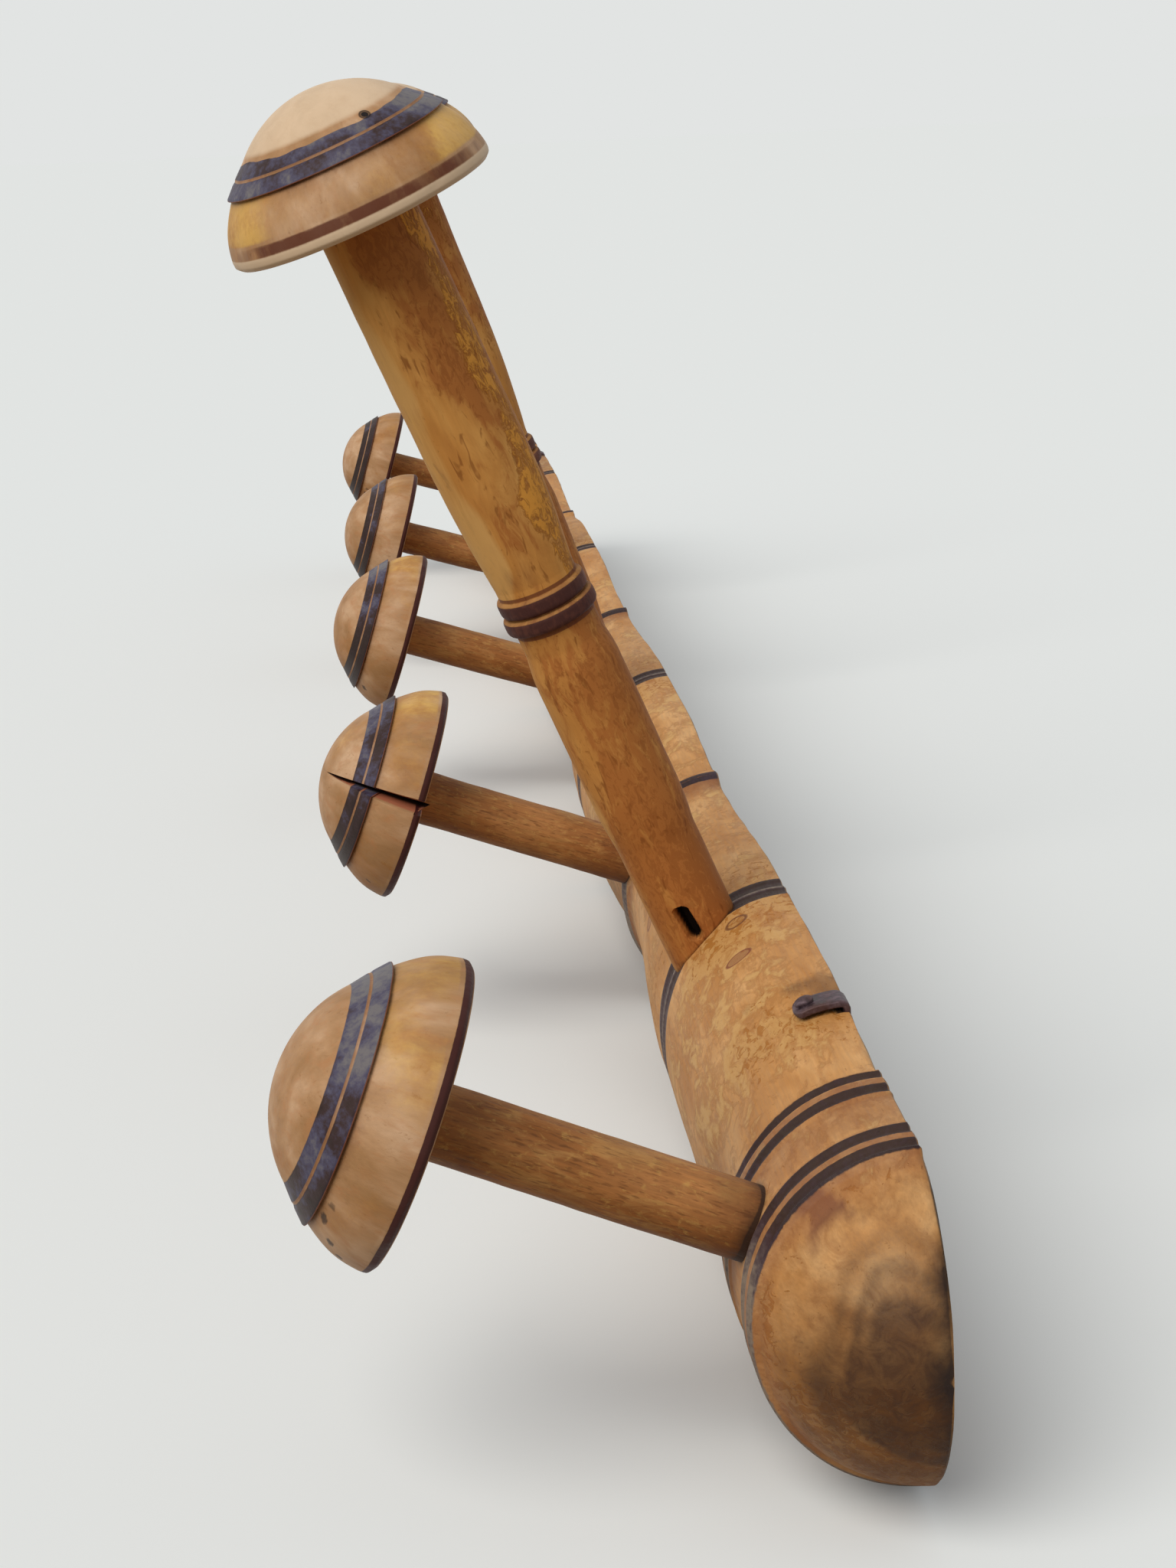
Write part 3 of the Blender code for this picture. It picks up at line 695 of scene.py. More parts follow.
@dataclass
class Rail:
    """Half-round split turning with raised nodes, grooved ring pairs, scorched bands and domed ends.

    Amounts in its masks are shares from 0 to 1, matched one by one.
    """

    peg_spacing: float = 0.231
    pair_offset: float = 0.012
    band_shift: float = 0.0045
    dome_length: float = 0.0270
    dome_lead: float = 0.0045
    dome_power: float = 2.02
    front_share: float = 0.85
    end_share: float = 0.965
    share_ease: float = 0.035
    waist: float = 0.0264
    swell: float = 0.0302
    swell_run: tuple[float, float] = (0.06, 0.40)
    taper_run: tuple[float, float] = (0.72, 0.30)
    ridge: float = 0.0281
    pair_waist: float = 0.0277
    ridge_half: float = 0.0075
    pair_half: float = 0.0055
    pair_soft: float = 0.0012
    groove_pitch: float = 0.0060
    groove_half: float = 0.0017
    groove_depth: float = 0.0006
    band_half: float = 0.0050
    band_depth: float = 0.0004
    line_offset: float = 0.0015
    edge: float = 0.0006
    strap_inset: float = 0.0365
    stripe_half: float = 0.00195
    thin_stripe_half: float = 0.0016
    stripe_soft: float = 0.0007
    node_stripe_at: float = 0.0012
    node_stripe_half: float = 0.0026
    node_stain: float = 0.013
    heart_radius: float = 0.022
    heart_soft: float = 0.012
    growth_ring: float = 0.00075
    peg_grime: float = 0.0009
    varnish_patch: float = 0.016
    back_wear: float = 0.00012
    wear: Wear = Wear(0.00016, 0.014, 0.0035, 3)
    blots: tuple[tuple[float, float, float, float], ...] = (
        (0.4815, 40.0, 0.0048, 0.0048), (-0.3050, 50.0, 0.0060, 0.0040))
    rows: int = 860
    arc_columns: int = 86
    back_columns: int = 26

    def __post_init__(self) -> None:
        """Work out the places of pairs, bands, nodes and poles from the spacing."""
        self.inner_pair = 2 * self.peg_spacing - self.pair_offset
        self.outer_pair = 2 * self.peg_spacing + self.pair_offset
        self.pairs = (self.inner_pair, self.outer_pair)
        self.between = sum(self.pairs) / 2
        self.inner_band = self.peg_spacing / 2 + self.band_shift
        self.outer_band = (self.peg_spacing + self.inner_pair) / 2
        self.bands = (self.inner_band, self.outer_band)
        self.pole = self.outer_pair + self.dome_length
        self.strap_at = self.inner_pair - self.strap_inset
        self.pegs = [self.peg_spacing * k for k in (2, 1, 0, -1, -2)]
        self.arms = [self.outer_band, self.inner_band, -self.inner_band, -self.outer_band]
        self.nodes = [(self.peg_spacing, -1.0), (0.0, -1.0), (-self.peg_spacing, 1.0)]

    def barrel(self, u: Array) -> Array:
        """Radius of a bamboo joint: a waist, a swelling over the first half, a taper at the end."""
        rise, fall = (ease((u - start) / run) for start, run in (self.swell_run, self.taper_run))
        return self.waist + (self.swell - self.waist) * rise * (1 - fall)

    def radius(self, x: Array) -> Array:
        """Radius along the rail: barrels between nodes, raised rings, grooves, and the dome at each end.

        The dome is a superellipse that takes over just outside the outer ring pair.

        Args:
            x: Places along the rail.

        Returns:
            Radius at each place.
        """
        a = np.abs(x)
        outer = self.barrel((a - self.peg_spacing) / (self.inner_pair - self.peg_spacing))
        r = np.where(a <= self.peg_spacing, self.barrel(a / self.peg_spacing), outer)
        r = np.where(a <= self.inner_pair, r, self.pair_waist)
        for node, way in self.nodes:
            r = r + (self.ridge - self.waist) * ease(1 - np.abs(x - node) / self.ridge_half)
            r = r - self.band_depth * groove(x, node + way * self.line_offset, self.groove_half, 1.5)
        for band, half in itertools.product(self.bands, BOTH_HALVES):
            r = r - self.band_depth * groove(a, band + half * self.band_half, self.band_half / 2, 1.6)
        for pair in self.pairs:
            r = r + (self.ridge - r) * stripe(a, pair, self.pair_half, self.pair_soft)
            for half in BOTH_HALVES:
                r = r - self.groove_depth * groove(a, pair + half * self.groove_pitch, self.groove_half, 1.3)
        u = np.clip((a - self.outer_pair + self.dome_lead) / (self.dome_length + self.dome_lead), 0, 1)
        dome = self.ridge * (1 - u ** self.dome_power) ** (1 / self.dome_power)
        return r + (dome - r) * ease((a - self.outer_pair - 0.8 * self.pair_half) / (0.25 * self.pair_half))

    def share(self, x: Array) -> Array:
        """Depth of the section as a share of its radius: less between the inner pairs than at the ends."""
        near_end = ease((np.abs(x) - self.inner_pair + self.share_ease) / self.share_ease)
        return self.front_share + (self.end_share - self.front_share) * near_end

    def depth(self, x: float) -> float:
        """Depth of the section at one place."""
        return float(self.radius(np.array(x)) * self.share(np.array(x)))

    def gap(self, points: Array) -> Array:
        """Distance of points outside the rail's round face."""
        x, y, z = (points[..., k] for k in range(3))
        return np.hypot(y / self.share(x), z) - self.radius(x)

    def samples(self) -> Array:
        """Places of the rows along the rail, crowded at rings, bands, straps and domes."""
        ends = [(pair, 8 * MM, 7.0) for pair in self.pairs] + [(band, 7 * MM, 7.0) for band in self.bands]
        ends += [(self.strap_at, 5 * MM, 9.0), (self.pole - 5 * MM, 9 * MM, 3.0)]
        places = [(side.value * at, half, weight) for side in Side for at, half, weight in ends]
        places += [(node, 11 * MM, 5.0) for node, _ in self.nodes]
        return crowded(-self.pole + 0.02 * MM, self.pole - 0.02 * MM, self.rows, places)

    def build(self, finish: WornBeech, pegs: list[tuple[Axis, float]], strap: StrapSizes) -> Piece:
        """Build and dress the rail.

        Each section is half an oval closed by its chord: first an angle from the top edge over the front to
        the lower edge, then a share of the radius back up the flat side. Both edges have a small bevel.

        Args:
            finish: Wood of the rail.
            pegs: Axis and radius of each short peg.
            strap: Sizes of the iron straps, whose beds are let into the back.

        Returns:
            The rail.
        """
        x = self.samples()[:, None]
        r = self.radius(x)
        bevel = np.minimum(self.edge / np.maximum(r, 1e-6), 0.3)
        turn = bevel + (math.pi - 2 * bevel) * np.linspace(0, 1, self.arc_columns)[None, :]
        bed_foot = (self.swell - strap.drop) / self.swell
        shares = np.sort(np.append(np.linspace(-1, 1, self.back_columns), [bed_foot - 0.01, bed_foot]))
        shares = shares[None, :] * (1 - bevel)
        y = np.concatenate([-r * self.share(x) * np.sin(turn), np.zeros_like(r * shares)], axis=1)
        z = np.concatenate([r * np.cos(turn), r * shares], axis=1)
        points = np.stack([np.broadcast_to(x, y.shape), y, z], axis=-1)
        round_face = np.arange(y.shape[1])[None, :] < self.arc_columns
        angle = np.where(round_face, np.arctan2(-y, z), 0.0)
        uneven = self.wear.at(points)
        points[..., 1:] *= np.where(round_face, 1 + uneven / np.maximum(r, 2 * MM), 1.0)[..., None]
        points[..., 1] += np.where(round_face, 0.0, self.back_wear * (lattice_noise(points, 9 * MM, 5) - 1))
        bed = self.let_in(points, strap)
        masks = self.masks(RailSurface(points, angle, round_face), pegs)
        masks[Mask.DIRT] = np.maximum(masks[Mask.DIRT], bed)
        return make_piece("beech_rail", "rail", finish, points, points[..., [1, 2, 0]], masks)

    def let_in(self, points: Array, strap: StrapSizes) -> Array:
        """Sink the beds of the straps into the points of the back.

        Args:
            points: Points of the rail, changed in place.
            strap: Sizes of the iron straps.

        Returns:
            How far each point lies in a bed, from 0 to 1.
        """
        x, y, z = (points[..., k] for k in range(3))
        tall = ease((z - self.swell + strap.drop) / (0.3 * MM) + 0.5) * (y > -strap.thickness - 1 * MM)
        half = strap.width / 2 + strap.clearance / 2
        bed = tall * most(*[stripe(x, side.value * self.strap_at, half, 0.2 * MM) for side in Side])
        floor = -strap.thickness - strap.clearance
        points[..., 1] = np.where(bed > 0, np.minimum(y, floor * bed), y)
        return bed

    def masks(self, at: RailSurface, pegs: list[tuple[Axis, float]]) -> dict[Mask, Array]:
        """Gather the rail's masks; all but wear, dirt and raw wood end at the edges of the round face.

        Args:
            at: Surface of the rail.
            pegs: Axis and radius of each short peg.

        Returns:
            Mask values by mask.
        """
        dome = ease((at.a - self.outer_pair - 7 * MM) / (4 * MM))
        gold, flake = self.varnish(at, dome)
        front = {Mask.SCORCH: self.scorch(at), Mask.STAIN: self.stain(at), Mask.GOLD: gold, Mask.FLAKE: flake,
                 Mask.HEART: self.heart(at, dome)}
        masks = {mask: value * at.round_face for mask, value in front.items()}
        return {**masks, Mask.WORN: self.worn(at), Mask.DIRT: self.dirt(at, dome, pegs),
                Mask.RAW: 1.0 - at.round_face}

    def scorch(self, at: RailSurface) -> Array:
        """Scorched stripes: two in each ring pair, a broad one at each arm, a pale-cored one at each node.

        Args:
            at: Surface of the rail.

        Returns:
            Mask values.
        """
        thin = self.inner_pair - self.groove_pitch / 2
        stripes = [stripe(at.a, thin, self.thin_stripe_half, self.stripe_soft)]
        lines = [thin + self.groove_pitch] + [self.outer_pair + h * self.groove_pitch for h in BOTH_HALVES]
        stripes += [stripe(at.a, line, self.stripe_half, self.stripe_soft) for line in lines]
        stripes += [stripe(at.a, band, 1.1 * self.band_half, 0.8 * MM) for band in self.bands]
        for node, way in self.nodes:
            line = node - way * self.node_stripe_at
            core = stripe(at.x, line - way * 0.6 * MM, 0.3 * MM, 0.5 * MM)
            dark = 0.95 * stripe(at.x, line, self.node_stripe_half, self.stripe_soft)
            stripes.append(dark * (1 - 0.45 * core))
        return most(*stripes)

    def worn(self, at: RailSurface) -> Array:
        """Wear that greys the scorch, on the front and in the core of each band; on the back, saw marks.

        Args:
            at: Surface of the rail.

        Returns:
            Mask values.
        """
        worn = ease((at.angle - 0.8) / 0.7) + 0.35 * at.drift
        for band in self.bands:
            core = stripe(at.a, band, 0.6 * MM, self.stripe_soft)
            in_band = np.abs(at.a - band) < self.band_half
            worn = np.where(in_band, np.maximum(0.6 * worn, 0.9 * core), worn)
        sawn = 0.5 + 0.8 * at.drift + 0.25 * np.sin(at.x / (0.6 * MM) + 3 * at.broad)
        return np.where(at.round_face, worn, sawn)

    def stain(self, at: RailSurface) -> Array:
        """Brown stain: outside and inside each ring pair, fading from each node, and in a few blots.

        Args:
            at: Surface of the rail.

        Returns:
            Mask values.
        """
        stains = [stripe(at.a, self.between, 5 * MM, 5 * MM) * (0.34 + 0.3 * at.broad)]
        for pair in self.pairs:
            near = at.a - pair - 4 * MM
            stains.append((near > 0) * (1 - ease((near - 2 * MM) / (7 * MM))) * (0.62 + 0.5 * at.drift))
            inner = 0.45 * stripe(at.a, pair - 5.5 * MM, 1 * MM, 2 * MM)
            stains.append(inner + 0.6 * stripe(at.a, pair, 1.2 * MM))
        for node, way in self.nodes:
            away = way * (node - at.x) - self.node_stripe_at
            left = (1 - np.clip(away / self.node_stain, 0, 1)) ** 0.8
            stains.append((away > 0) * left * (0.85 + 0.3 * at.drift))
        for place, turn, long, wide in self.blots:
            apart = np.hypot((at.x - place) / long, (at.angle - math.radians(turn)) * self.ridge / wide)
            stains.append(0.9 * at.blot(apart, 1.25, 0.8))
        return most(*stains)

    def dirt(self, at: RailSurface, dome: Array, pegs: list[tuple[Axis, float]]) -> Array:
        """Dirt round the pegs, along the back edges, deeper near the poles, and in a spot at each pole.

        Args:
            at: Surface of the rail.
            dome: 1 on the domed ends.
            pegs: Axis and radius of each short peg.

        Returns:
            Mask values.
        """
        by_pole = dome * ease((20 * MM - at.from_axis) / (6 * MM))
        from_edge = np.minimum(at.angle, math.pi - at.angle) * at.from_axis
        reach = (1.0 + 2.2 * by_pole) * MM
        edge = np.exp(-from_edge / reach) * (0.3 + 0.7 * by_pole) * (1 + 0.5 * at.drift)
        spot = dome * ease((4.2 * MM - at.from_axis + 2.4 * MM * at.fine) / (1.5 * MM))
        radius = self.radius(np.clip(at.a, 0, self.pole - 0.1 * MM))
        back = dome * ease((at.from_axis / radius - 0.9) / 0.08)
        dirt = np.where(at.round_face, most(edge, spot), back)
        for axis, peg_radius in pegs:
            away = at.points - axis.origin
            height = away @ axis.turn[2]
            off = np.linalg.norm(away - height[..., None] * axis.turn[2], axis=-1) - peg_radius
            dirt = most(dirt, (0.7 + 0.5 * at.fine) * fade(off, self.peg_grime) * (height > 9 * MM))
        return dirt

    def heart(self, at: RailSurface, dome: Array) -> Array:
        """Dark heart of the wood at the domed ends, with growth rings, and old grime beside the straps.

        The heart darkens towards the pole, and towards the underside as painted shade; it is less in a ring
        round the pole on the front.

        Args:
            at: Surface of the rail.
            dome: 1 on the domed ends.

        Returns:
            Mask values.
        """
        rings = 1 + 0.13 * np.sin(at.from_axis / self.growth_ring + 5 * lattice_noise(at.points, 9 * MM, 15))
        front = ease((np.sin(at.angle) - 0.2) / 0.6)
        inside = self.heart_radius - at.from_axis + 3 * MM * (at.drift + at.broad)
        heart = (0.5 + 0.3 * front) * np.clip(inside / self.heart_soft, 0, 1) + 0.32
        heart = heart - 0.14 * front * bell(at.from_axis + 2 * MM * at.drift, 6 * MM, 2.6 * MM)
        # darker towards the underside: painted shade
        heart = heart + 0.36 * ease((at.angle - 1.25) / 0.8) + 0.08 * (at.broad + at.fine)
        apart = np.hypot((at.a - self.strap_at + 9.5 * MM) / (8 * MM), at.angle * self.ridge / (11 * MM))
        return most(dome * heart * rings, 0.62 * at.blot(apart, 1.35, 0.9))

    def varnish(self, at: RailSurface, dome: Array) -> tuple[Array, Array]:
        """Golden varnish left near rings, arms and straps and under the domes, and varnish that flakes.

        Args:
            at: Surface of the rail.
            dome: 1 on the domed ends.

        Returns:
            Mask values of the golden varnish and of its flakes.
        """
        outward = at.x - 12 * MM * np.sign(at.x)
        foot = sum(bell(outward, arm, self.varnish_patch) for arm in self.arms)
        kept = ease((1.2 - at.angle) / 0.6) * most(foot, bell(at.a, self.strap_at, self.varnish_patch))
        beyond = 0.7 * stripe(at.a, self.outer_pair + 8 * MM, 2 * MM, 9 * MM)
        beyond = beyond * (0.6 + 0.4 * ease((at.angle - 0.6) / 0.9))
        under_dome = 0.68 * dome * ease((at.angle - 1.45) / 0.5)
        by_bands = [0.4 * bell(at.a, band - 16 * MM, 14 * MM) for band in self.bands]
        by_peg = 0.36 * stripe(at.a, self.between, 1 * MM, 5 * MM)
        gold = most(by_peg, beyond, 0.5 * kept, under_dome, *by_bands)
        flake = 0.21 + 0.13 * at.broad + 0.13 * kept - 0.2 * dome
        return gold + 0.1 * at.broad + 0.08, flake


@dataclass(frozen=True)
class Crack:
    """Radial split in a knob: its angle, its width at the rim, where it starts and how deep it is."""

    angle: float
    width: float
    start: float
    depth: float


@dataclass
class Knob:
    """Mushroom knob: flat underside, dark rim, convex skirt, an overhanging step, two dark bands and a crown.

    A rubbed knob has lost most of the stain on its rim and skirt. Amounts in its masks are shares from
    0 to 1, matched one by one.
    """

    radius: float = 0.0250
    height: float = 0.0233
    rim: float = 0.0018
    chamfer: float = 0.0008
    skirt_top_r: float = 0.0203
    skirt_top: float = 0.0117
    skirt_bulge: float = 0.0009
    step: float = 0.0008
    line_r: float = 0.0187
    line: float = 0.0142
    line_depth: float = 0.00022
    crown_r: float = 0.0158
    crown_foot: float = 0.0167
    rim_stripe: tuple[float, float] = (0.0003, 0.0021)
    band_gap: float = 0.0007
    band_soft: float = 0.0004
    stripe_soft: float = 0.00045
    chip_depths: tuple[float, float] = (0.00025, 0.00018)
    wear: Wear = Wear(0.00010, 0.013, 0.003, 21)
    grain_step: Point = (0.31, 0.17, 0.23)
    columns: int = 192
    spacing: float = 0.00028
    wall_columns: int = 5
    rubbed: float = 0.0
    # strength of the painted sheen on the dark bands
    sheen: float = 0.4
    faces_right: bool = True
    crack: Crack | None = None

    def outline(self) -> tuple[Array, Array, Array, dict[str, float]]:
        """Outline from the middle of the underside round the rim and up to the crown.

        Straight runs, a skirt bowed out by a half sine and a crown that is an arc of a circle, smoothed over
        a third of a millimetre.

        Returns:
            Radius, height and distance along the outline, and the distances of its corners.
        """
        u = np.linspace(0, 1, 40)[1:]
        skirt_r = self.radius + (self.skirt_top_r - self.radius) * u + self.skirt_bulge * np.sin(math.pi * u)
        skirt_z = self.rim + (self.skirt_top - self.rim) * u
        rise = self.height - self.crown_foot
        sphere = (self.crown_r ** 2 + rise ** 2) / (2 * rise)
        edge = math.asin(self.crown_r / sphere) * np.linspace(1, 0, 60)[1:]
        r = np.concatenate([[0.0, self.radius - self.chamfer, self.radius, self.radius], skirt_r,
                            [self.skirt_top_r + self.step, self.line_r, self.crown_r], sphere * np.sin(edge)])
        z = np.concatenate([[0.0, 0.0, self.chamfer, self.rim], skirt_z,
                            [self.skirt_top + self.step / 4, self.line, self.crown_foot],
                            self.height - sphere * (1 - np.cos(edge))])
        along = run_length(r, z)
        after = dict(zip(("skirt", "lip", "line", "crown"), along[3 + len(u):]))
        corner = {"under": along[1], "rim": along[3], **after}
        fine = np.arange(0.0, along[-1], 0.05 * MM)
        window = np.ones(7) / 7
        under = np.linspace(0.5 * MM, corner["under"] - self.spacing, 16)
        s = np.concatenate([under, np.arange(corner["under"], along[-1] - 0.2 * MM, self.spacing)])
        padded = (np.pad(np.interp(fine, along, v), 3, mode="edge") for v in (r, z))
        r, z = (np.convolve(v, window, mode="valid") for v in padded)
        return np.interp(s, fine, r), np.interp(s, fine, z), s, corner

    def angles(self, r: Array, s: Array, corner: dict[str, float]) -> tuple[Array, Array]:
        """Angle of each column and how far it is sunk below the surface; a crack adds columns for its walls.

        The crack opens from its start on the crown to the rim. Its walls run to one common bottom close to
        its upper edge, so that the lower wall is a ramp.

        Args:
            r: Radius of each row.
            s: Distance along the outline of each row.
            corner: Distances of the outline's corners.

        Returns:
            Angle and depth for each row and column.
        """
        if self.crack is None:
            angle = full_turn(self.columns) + 0 * r[:, None]
            return angle, np.zeros_like(angle)
        crack = self.crack
        top, inner_end = s[-1] - crack.start, 9 * MM
        above = np.clip((top - s) / (top - corner["rim"]), 0.0, 1.0)
        below = np.clip((s - inner_end) / (corner["under"] - inner_end), 0.0, 1.0)
        share = np.minimum(above, below)[:, None] ** 0.85
        half = (0.02 * MM + crack.width * share) / 2 / np.maximum(r, 1 * MM)[:, None]
        depth = 0.05 * MM + crack.depth * share
        wall = np.linspace(0, 1, self.wall_columns)[None, :-1]
        face = np.linspace(0, 1, self.columns)[None, :]
        lean = 0.6 * half
        rising = np.concatenate([lean + (half - lean) * wall, half + (TAU - 2 * half) * face,
                                 TAU + lean - (half + lean) * wall[:, :0:-1]], axis=1)
        sunk = np.concatenate([depth * (1 - wall), 0 * half * face, depth * (1 - wall[:, :0:-1])], axis=1)
        return crack.angle + rising, sunk

    def grain_shift(self, seed: int) -> Array:
        """Place in the grain of the middle of a knob's underside."""
        return np.array(self.grain_step) * (seed + 1)

    def build(self, name: str, node: str, axis: Axis, finish: WornBeech, seed: int) -> Piece:
        """Build and dress one knob: its outline turned round the axis, uneven, with chips at rim and lip.

        Args:
            name: Name of the piece.
            node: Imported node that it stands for.
            axis: Frame with its origin in the middle of the underside.
            finish: Wood of the knob.
            seed: Number that sets this knob apart from the others.

        Returns:
            The knob.
        """
        r, z, s, corner = self.outline()
        angle, sunk = self.angles(r, s, corner)
        s, r, z = s[:, None], r[:, None], z[:, None]
        cut = self.line_depth * bell(s, corner["line"], 0.35 * MM)
        local = around(r - cut - 0.75 * sunk, angle, z - 0.45 * sunk * (s > corner["rim"]))
        offset = self.grain_shift(seed)
        chip = ease((lattice_noise(local + offset, 4.5 * MM, 23) - 0.45) / 0.3)
        near_rim = self.chip_depths[0] * bell(s, corner["rim"] - 0.8 * MM, 1.0 * MM)
        near_lip = self.chip_depths[1] * bell(s, corner["lip"], 0.6 * MM)
        uneven = self.wear.at(local + offset) - chip * (near_rim + near_lip)
        local[..., :2] *= (1 + uneven / np.maximum(r, 2 * MM))[..., None]
        lift = np.cos(angle) * axis.turn[0, 2] + np.sin(angle) * axis.turn[1, 2]
        masks = self.masks(s, corner, local + offset, sunk, angle, lift)
        return make_piece(name, node, finish, axis.place(local), local + offset, masks)

    def masks(self, s: Array, corner: dict[str, float], grain: Array, sunk: Array, angle: Array,
              lift: Array) -> dict[Mask, Array]:
        """Work out the dark bands, the rim stripe, the painted shade under the step and in the crack, the
        painted shadow below the step, painted light on the crack's lower wall and by tilt, and the worn spots
        with their painted sheen.

        Args:
            s: Distance along the outline of each row.
            corner: Distances of the outline's corners.
            grain: Place of each point in the grain.
            sunk: How far each point lies inside a crack.
            angle: Angle of each point round the knob, 0 facing along the rail.
            lift: How far each point's side of the knob faces up, from -1 to 1.

        Returns:
            Mask values by mask.
        """
        lip, line, crown, under_edge = (corner[key] for key in ("lip", "line", "crown", "under"))
        rubbed, kept = self.rubbed, 1 - self.rubbed
        drift, fine = lattice_noise(grain, 8 * MM, 31), lattice_noise(grain, 3 * MM, 32)
        high_end = crown + 0.05 * MM - rubbed * 0.5 * MM * (fine + drift + 0.6)
        low_band = from_to(s, lip + 0.2 * MM, line, self.band_soft)
        high_band = from_to(s, line + self.band_gap, high_end, self.stripe_soft)
        start, end = (under_edge + height for height in self.rim_stripe)
        rim_band = from_to(s, start, end, self.stripe_soft)
        skirt = ease((s - end) / (1 * MM)) * (s < lip)
        under = ease((under_edge - 1.0 * MM - s) / (0.8 * MM))
        away = np.abs(turned_by(angle, 0.0 if self.faces_right else math.pi))
        # on kept knobs how far the side tilts up and down, for painted light and shade; on rubbed knobs the
        # flanks
        flank = kept * np.abs(lift) + rubbed * ease((away - 0.45) / 0.6)

        rim_left = 1 - rubbed * ease((away - 0.75 + 0.3 * fine) / 0.5)
        # painted shadow that the overhanging step casts on the skirt
        below_lip = fade(lip - s, 1.7 * MM) * (s < lip) * (s > corner["rim"])
        stain = most(0.95 * stripe(s, lip + 0.1 * MM, 0.5 * MM, self.band_soft),
                     0.75 * below_lip * (0.9 + 0.6 * fine + 0.4 * drift),
                     0.4 * stripe(s, line + 0.5 * MM, 0.9 * MM, self.band_soft),
                     0.6 * stripe(s, line + 0.9 * MM, 0.5 * MM, self.band_soft),
                     rubbed * rim_band * rim_left * (0.9 + 0.35 * fine))

        # painted shade in the crack, dark from part way down its walls
        depth = sunk.max(axis=1, keepdims=True)
        dark_from = 0.1 + 0.4 * ease((depth - 2 * MM) / (2 * MM))
        in_crack = ease((sunk / np.maximum(depth, 0.01 * MM) - dark_from) / 0.25) * (depth > 0.02 * MM)
        pits = ease((lattice_noise(grain, 2.4 * MM, 34) - 0.6) / 0.15) * ease((-lift - 0.2) / 0.4)
        # painted shade in the corner under the step and in the crack, and dark pits on the side that faces
        # down
        dirt = most(0.45 * bell(s, corner["skirt"], 0.55 * MM) + in_crack, 0.8 * kept * skirt * pits)

        # painted sheen: the tones of bands and varnish grow lighter as the side faces up
        worn = self.sheen + 0.35 * lift + 0.5 * lattice_noise(grain, 9 * MM, 33) + 0.35 * fine
        worn = worn + rubbed * skirt * (0.7 * flank - 0.45)
        # golden varnish; on kept knobs also painted light on the skirt's upper side and warm painted shade
        # below
        gold = skirt * (0.18 + 0.12 * rubbed + 0.5 * flank) + 0.3 * drift
        # more gold on the crown's lower side: warm painted shade
        gold = gold + (s > crown) * kept * (0.15 + 0.3 * np.maximum(-lift, 0))
        pale = most((s < start) * (1 - under), 0.8 * ease((s - crown) / (2 * MM)), 0.3 * skirt)
        # painted light on the crack's lower wall
        lit_wall = ease((sunk - 0.1 * MM) / (0.4 * MM))
        return {Mask.SCORCH: most(low_band, high_band), Mask.WORN: worn, Mask.STAIN: stain, Mask.DIRT: dirt,
                Mask.RAW: 0.8 * under, Mask.PALE: rubbed * pale, Mask.GOLD: gold, Mask.HEART: lit_wall,
                Mask.RIM: kept * rim_band * (1 + 0.25 * drift)}


@dataclass
class ShortPeg:
    """Plain round coat peg plugged into the rail, with its knob; its rise is in degrees."""

    number: int
    x: float
    rise: float
    reach: float
    radius: float = 0.0062
    sink: float = 0.004
    plug: float = 0.004
    wear: Wear = Wear(0.00012, 0.012, 0.003, 41)
    grain_step: Point = (0.23, 0.41, 0.19)
    rows: int = 150
    columns: int = 96

    def axis(self) -> Axis:
        """Frame of the peg: origin on the rail's axis, z out along the shaft."""
        angle = math.radians(self.rise)
        return Axis.along((self.x, 0.0, 0.0), (0.0, -math.cos(angle), math.sin(angle)))

    def build(self, rail: Rail, wood: WornBeech, knob: Knob, knob_wood: WornBeech) -> list[Piece]:
        """Build and dress the shaft and the knob.

        The shaft is a circle carried along its axis from inside the rail into the knob, uneven by noise.

        Args:
            rail: Rail that holds the peg.
            wood: Finish of the shaft.
            knob: Knob on the peg.
            knob_wood: Finish of the knob.

        Returns:
            Shaft and knob.
        """
        axis, number = self.axis(), self.number
        start = rail.depth(self.x) - self.sink
        z = crowded(start, self.reach + self.plug, self.rows, [(start + 5 * MM, 4 * MM, 3.0)])[:, None]
        angle = full_turn(self.columns)
        offset = np.array(self.grain_step) * number
        local = around(self.radius, angle, z)
        uneven = self.wear.at(local + offset)
        local[..., :2] *= (1 + uneven / self.radius)[..., None]
        points, grain = axis.place(local), local + offset
        masks = self.masks(rail.gap(points), lattice_noise(grain, 6 * MM, 43), angle, z)
        shaft = make_piece(f"beech_peg_{number}", f"short_peg_{number}", wood, points, grain, masks)
        cap = knob.build(f"peg_knob_{number}", f"short_knob_{number}", axis.moved(self.reach), knob_wood,
                         number)
        return [shaft, cap]

    def masks(self, gap: Array, drift: Array, angle: Array, z: Array) -> dict[Mask, Array]:
        """Work out the grime at the rail, the painted shade under the knob, a darker lower side and a paler
        upper side.

        Args:
            gap: Distance of each point from the rail's face.
            drift: Noise at each point.
            angle: Angle of each column, a quarter turn facing up.
            z: Height of each row along the shaft.

        Returns:
            Mask values by mask.
        """
        grime = fade(gap, 2.4 * MM) * (1.0 + 0.7 * drift)
        line = ease((1.2 * MM + 0.9 * MM * drift - gap) / (0.5 * MM))
        # painted shade under the knob
        under_knob = 0.6 * fade(self.reach - z, 1.5 * MM)
        lower = ease((-np.sin(angle) - 0.35) / 0.6)
        return {Mask.STAIN: 0.4 * lower + 0.3 * drift + fade(gap, 8 * MM),
                Mask.DIRT: most(grime, line, under_knob),
                Mask.PALE: ease((np.sin(angle) - 0.1) / 0.8) * (0.3 + 0.5 * drift)}


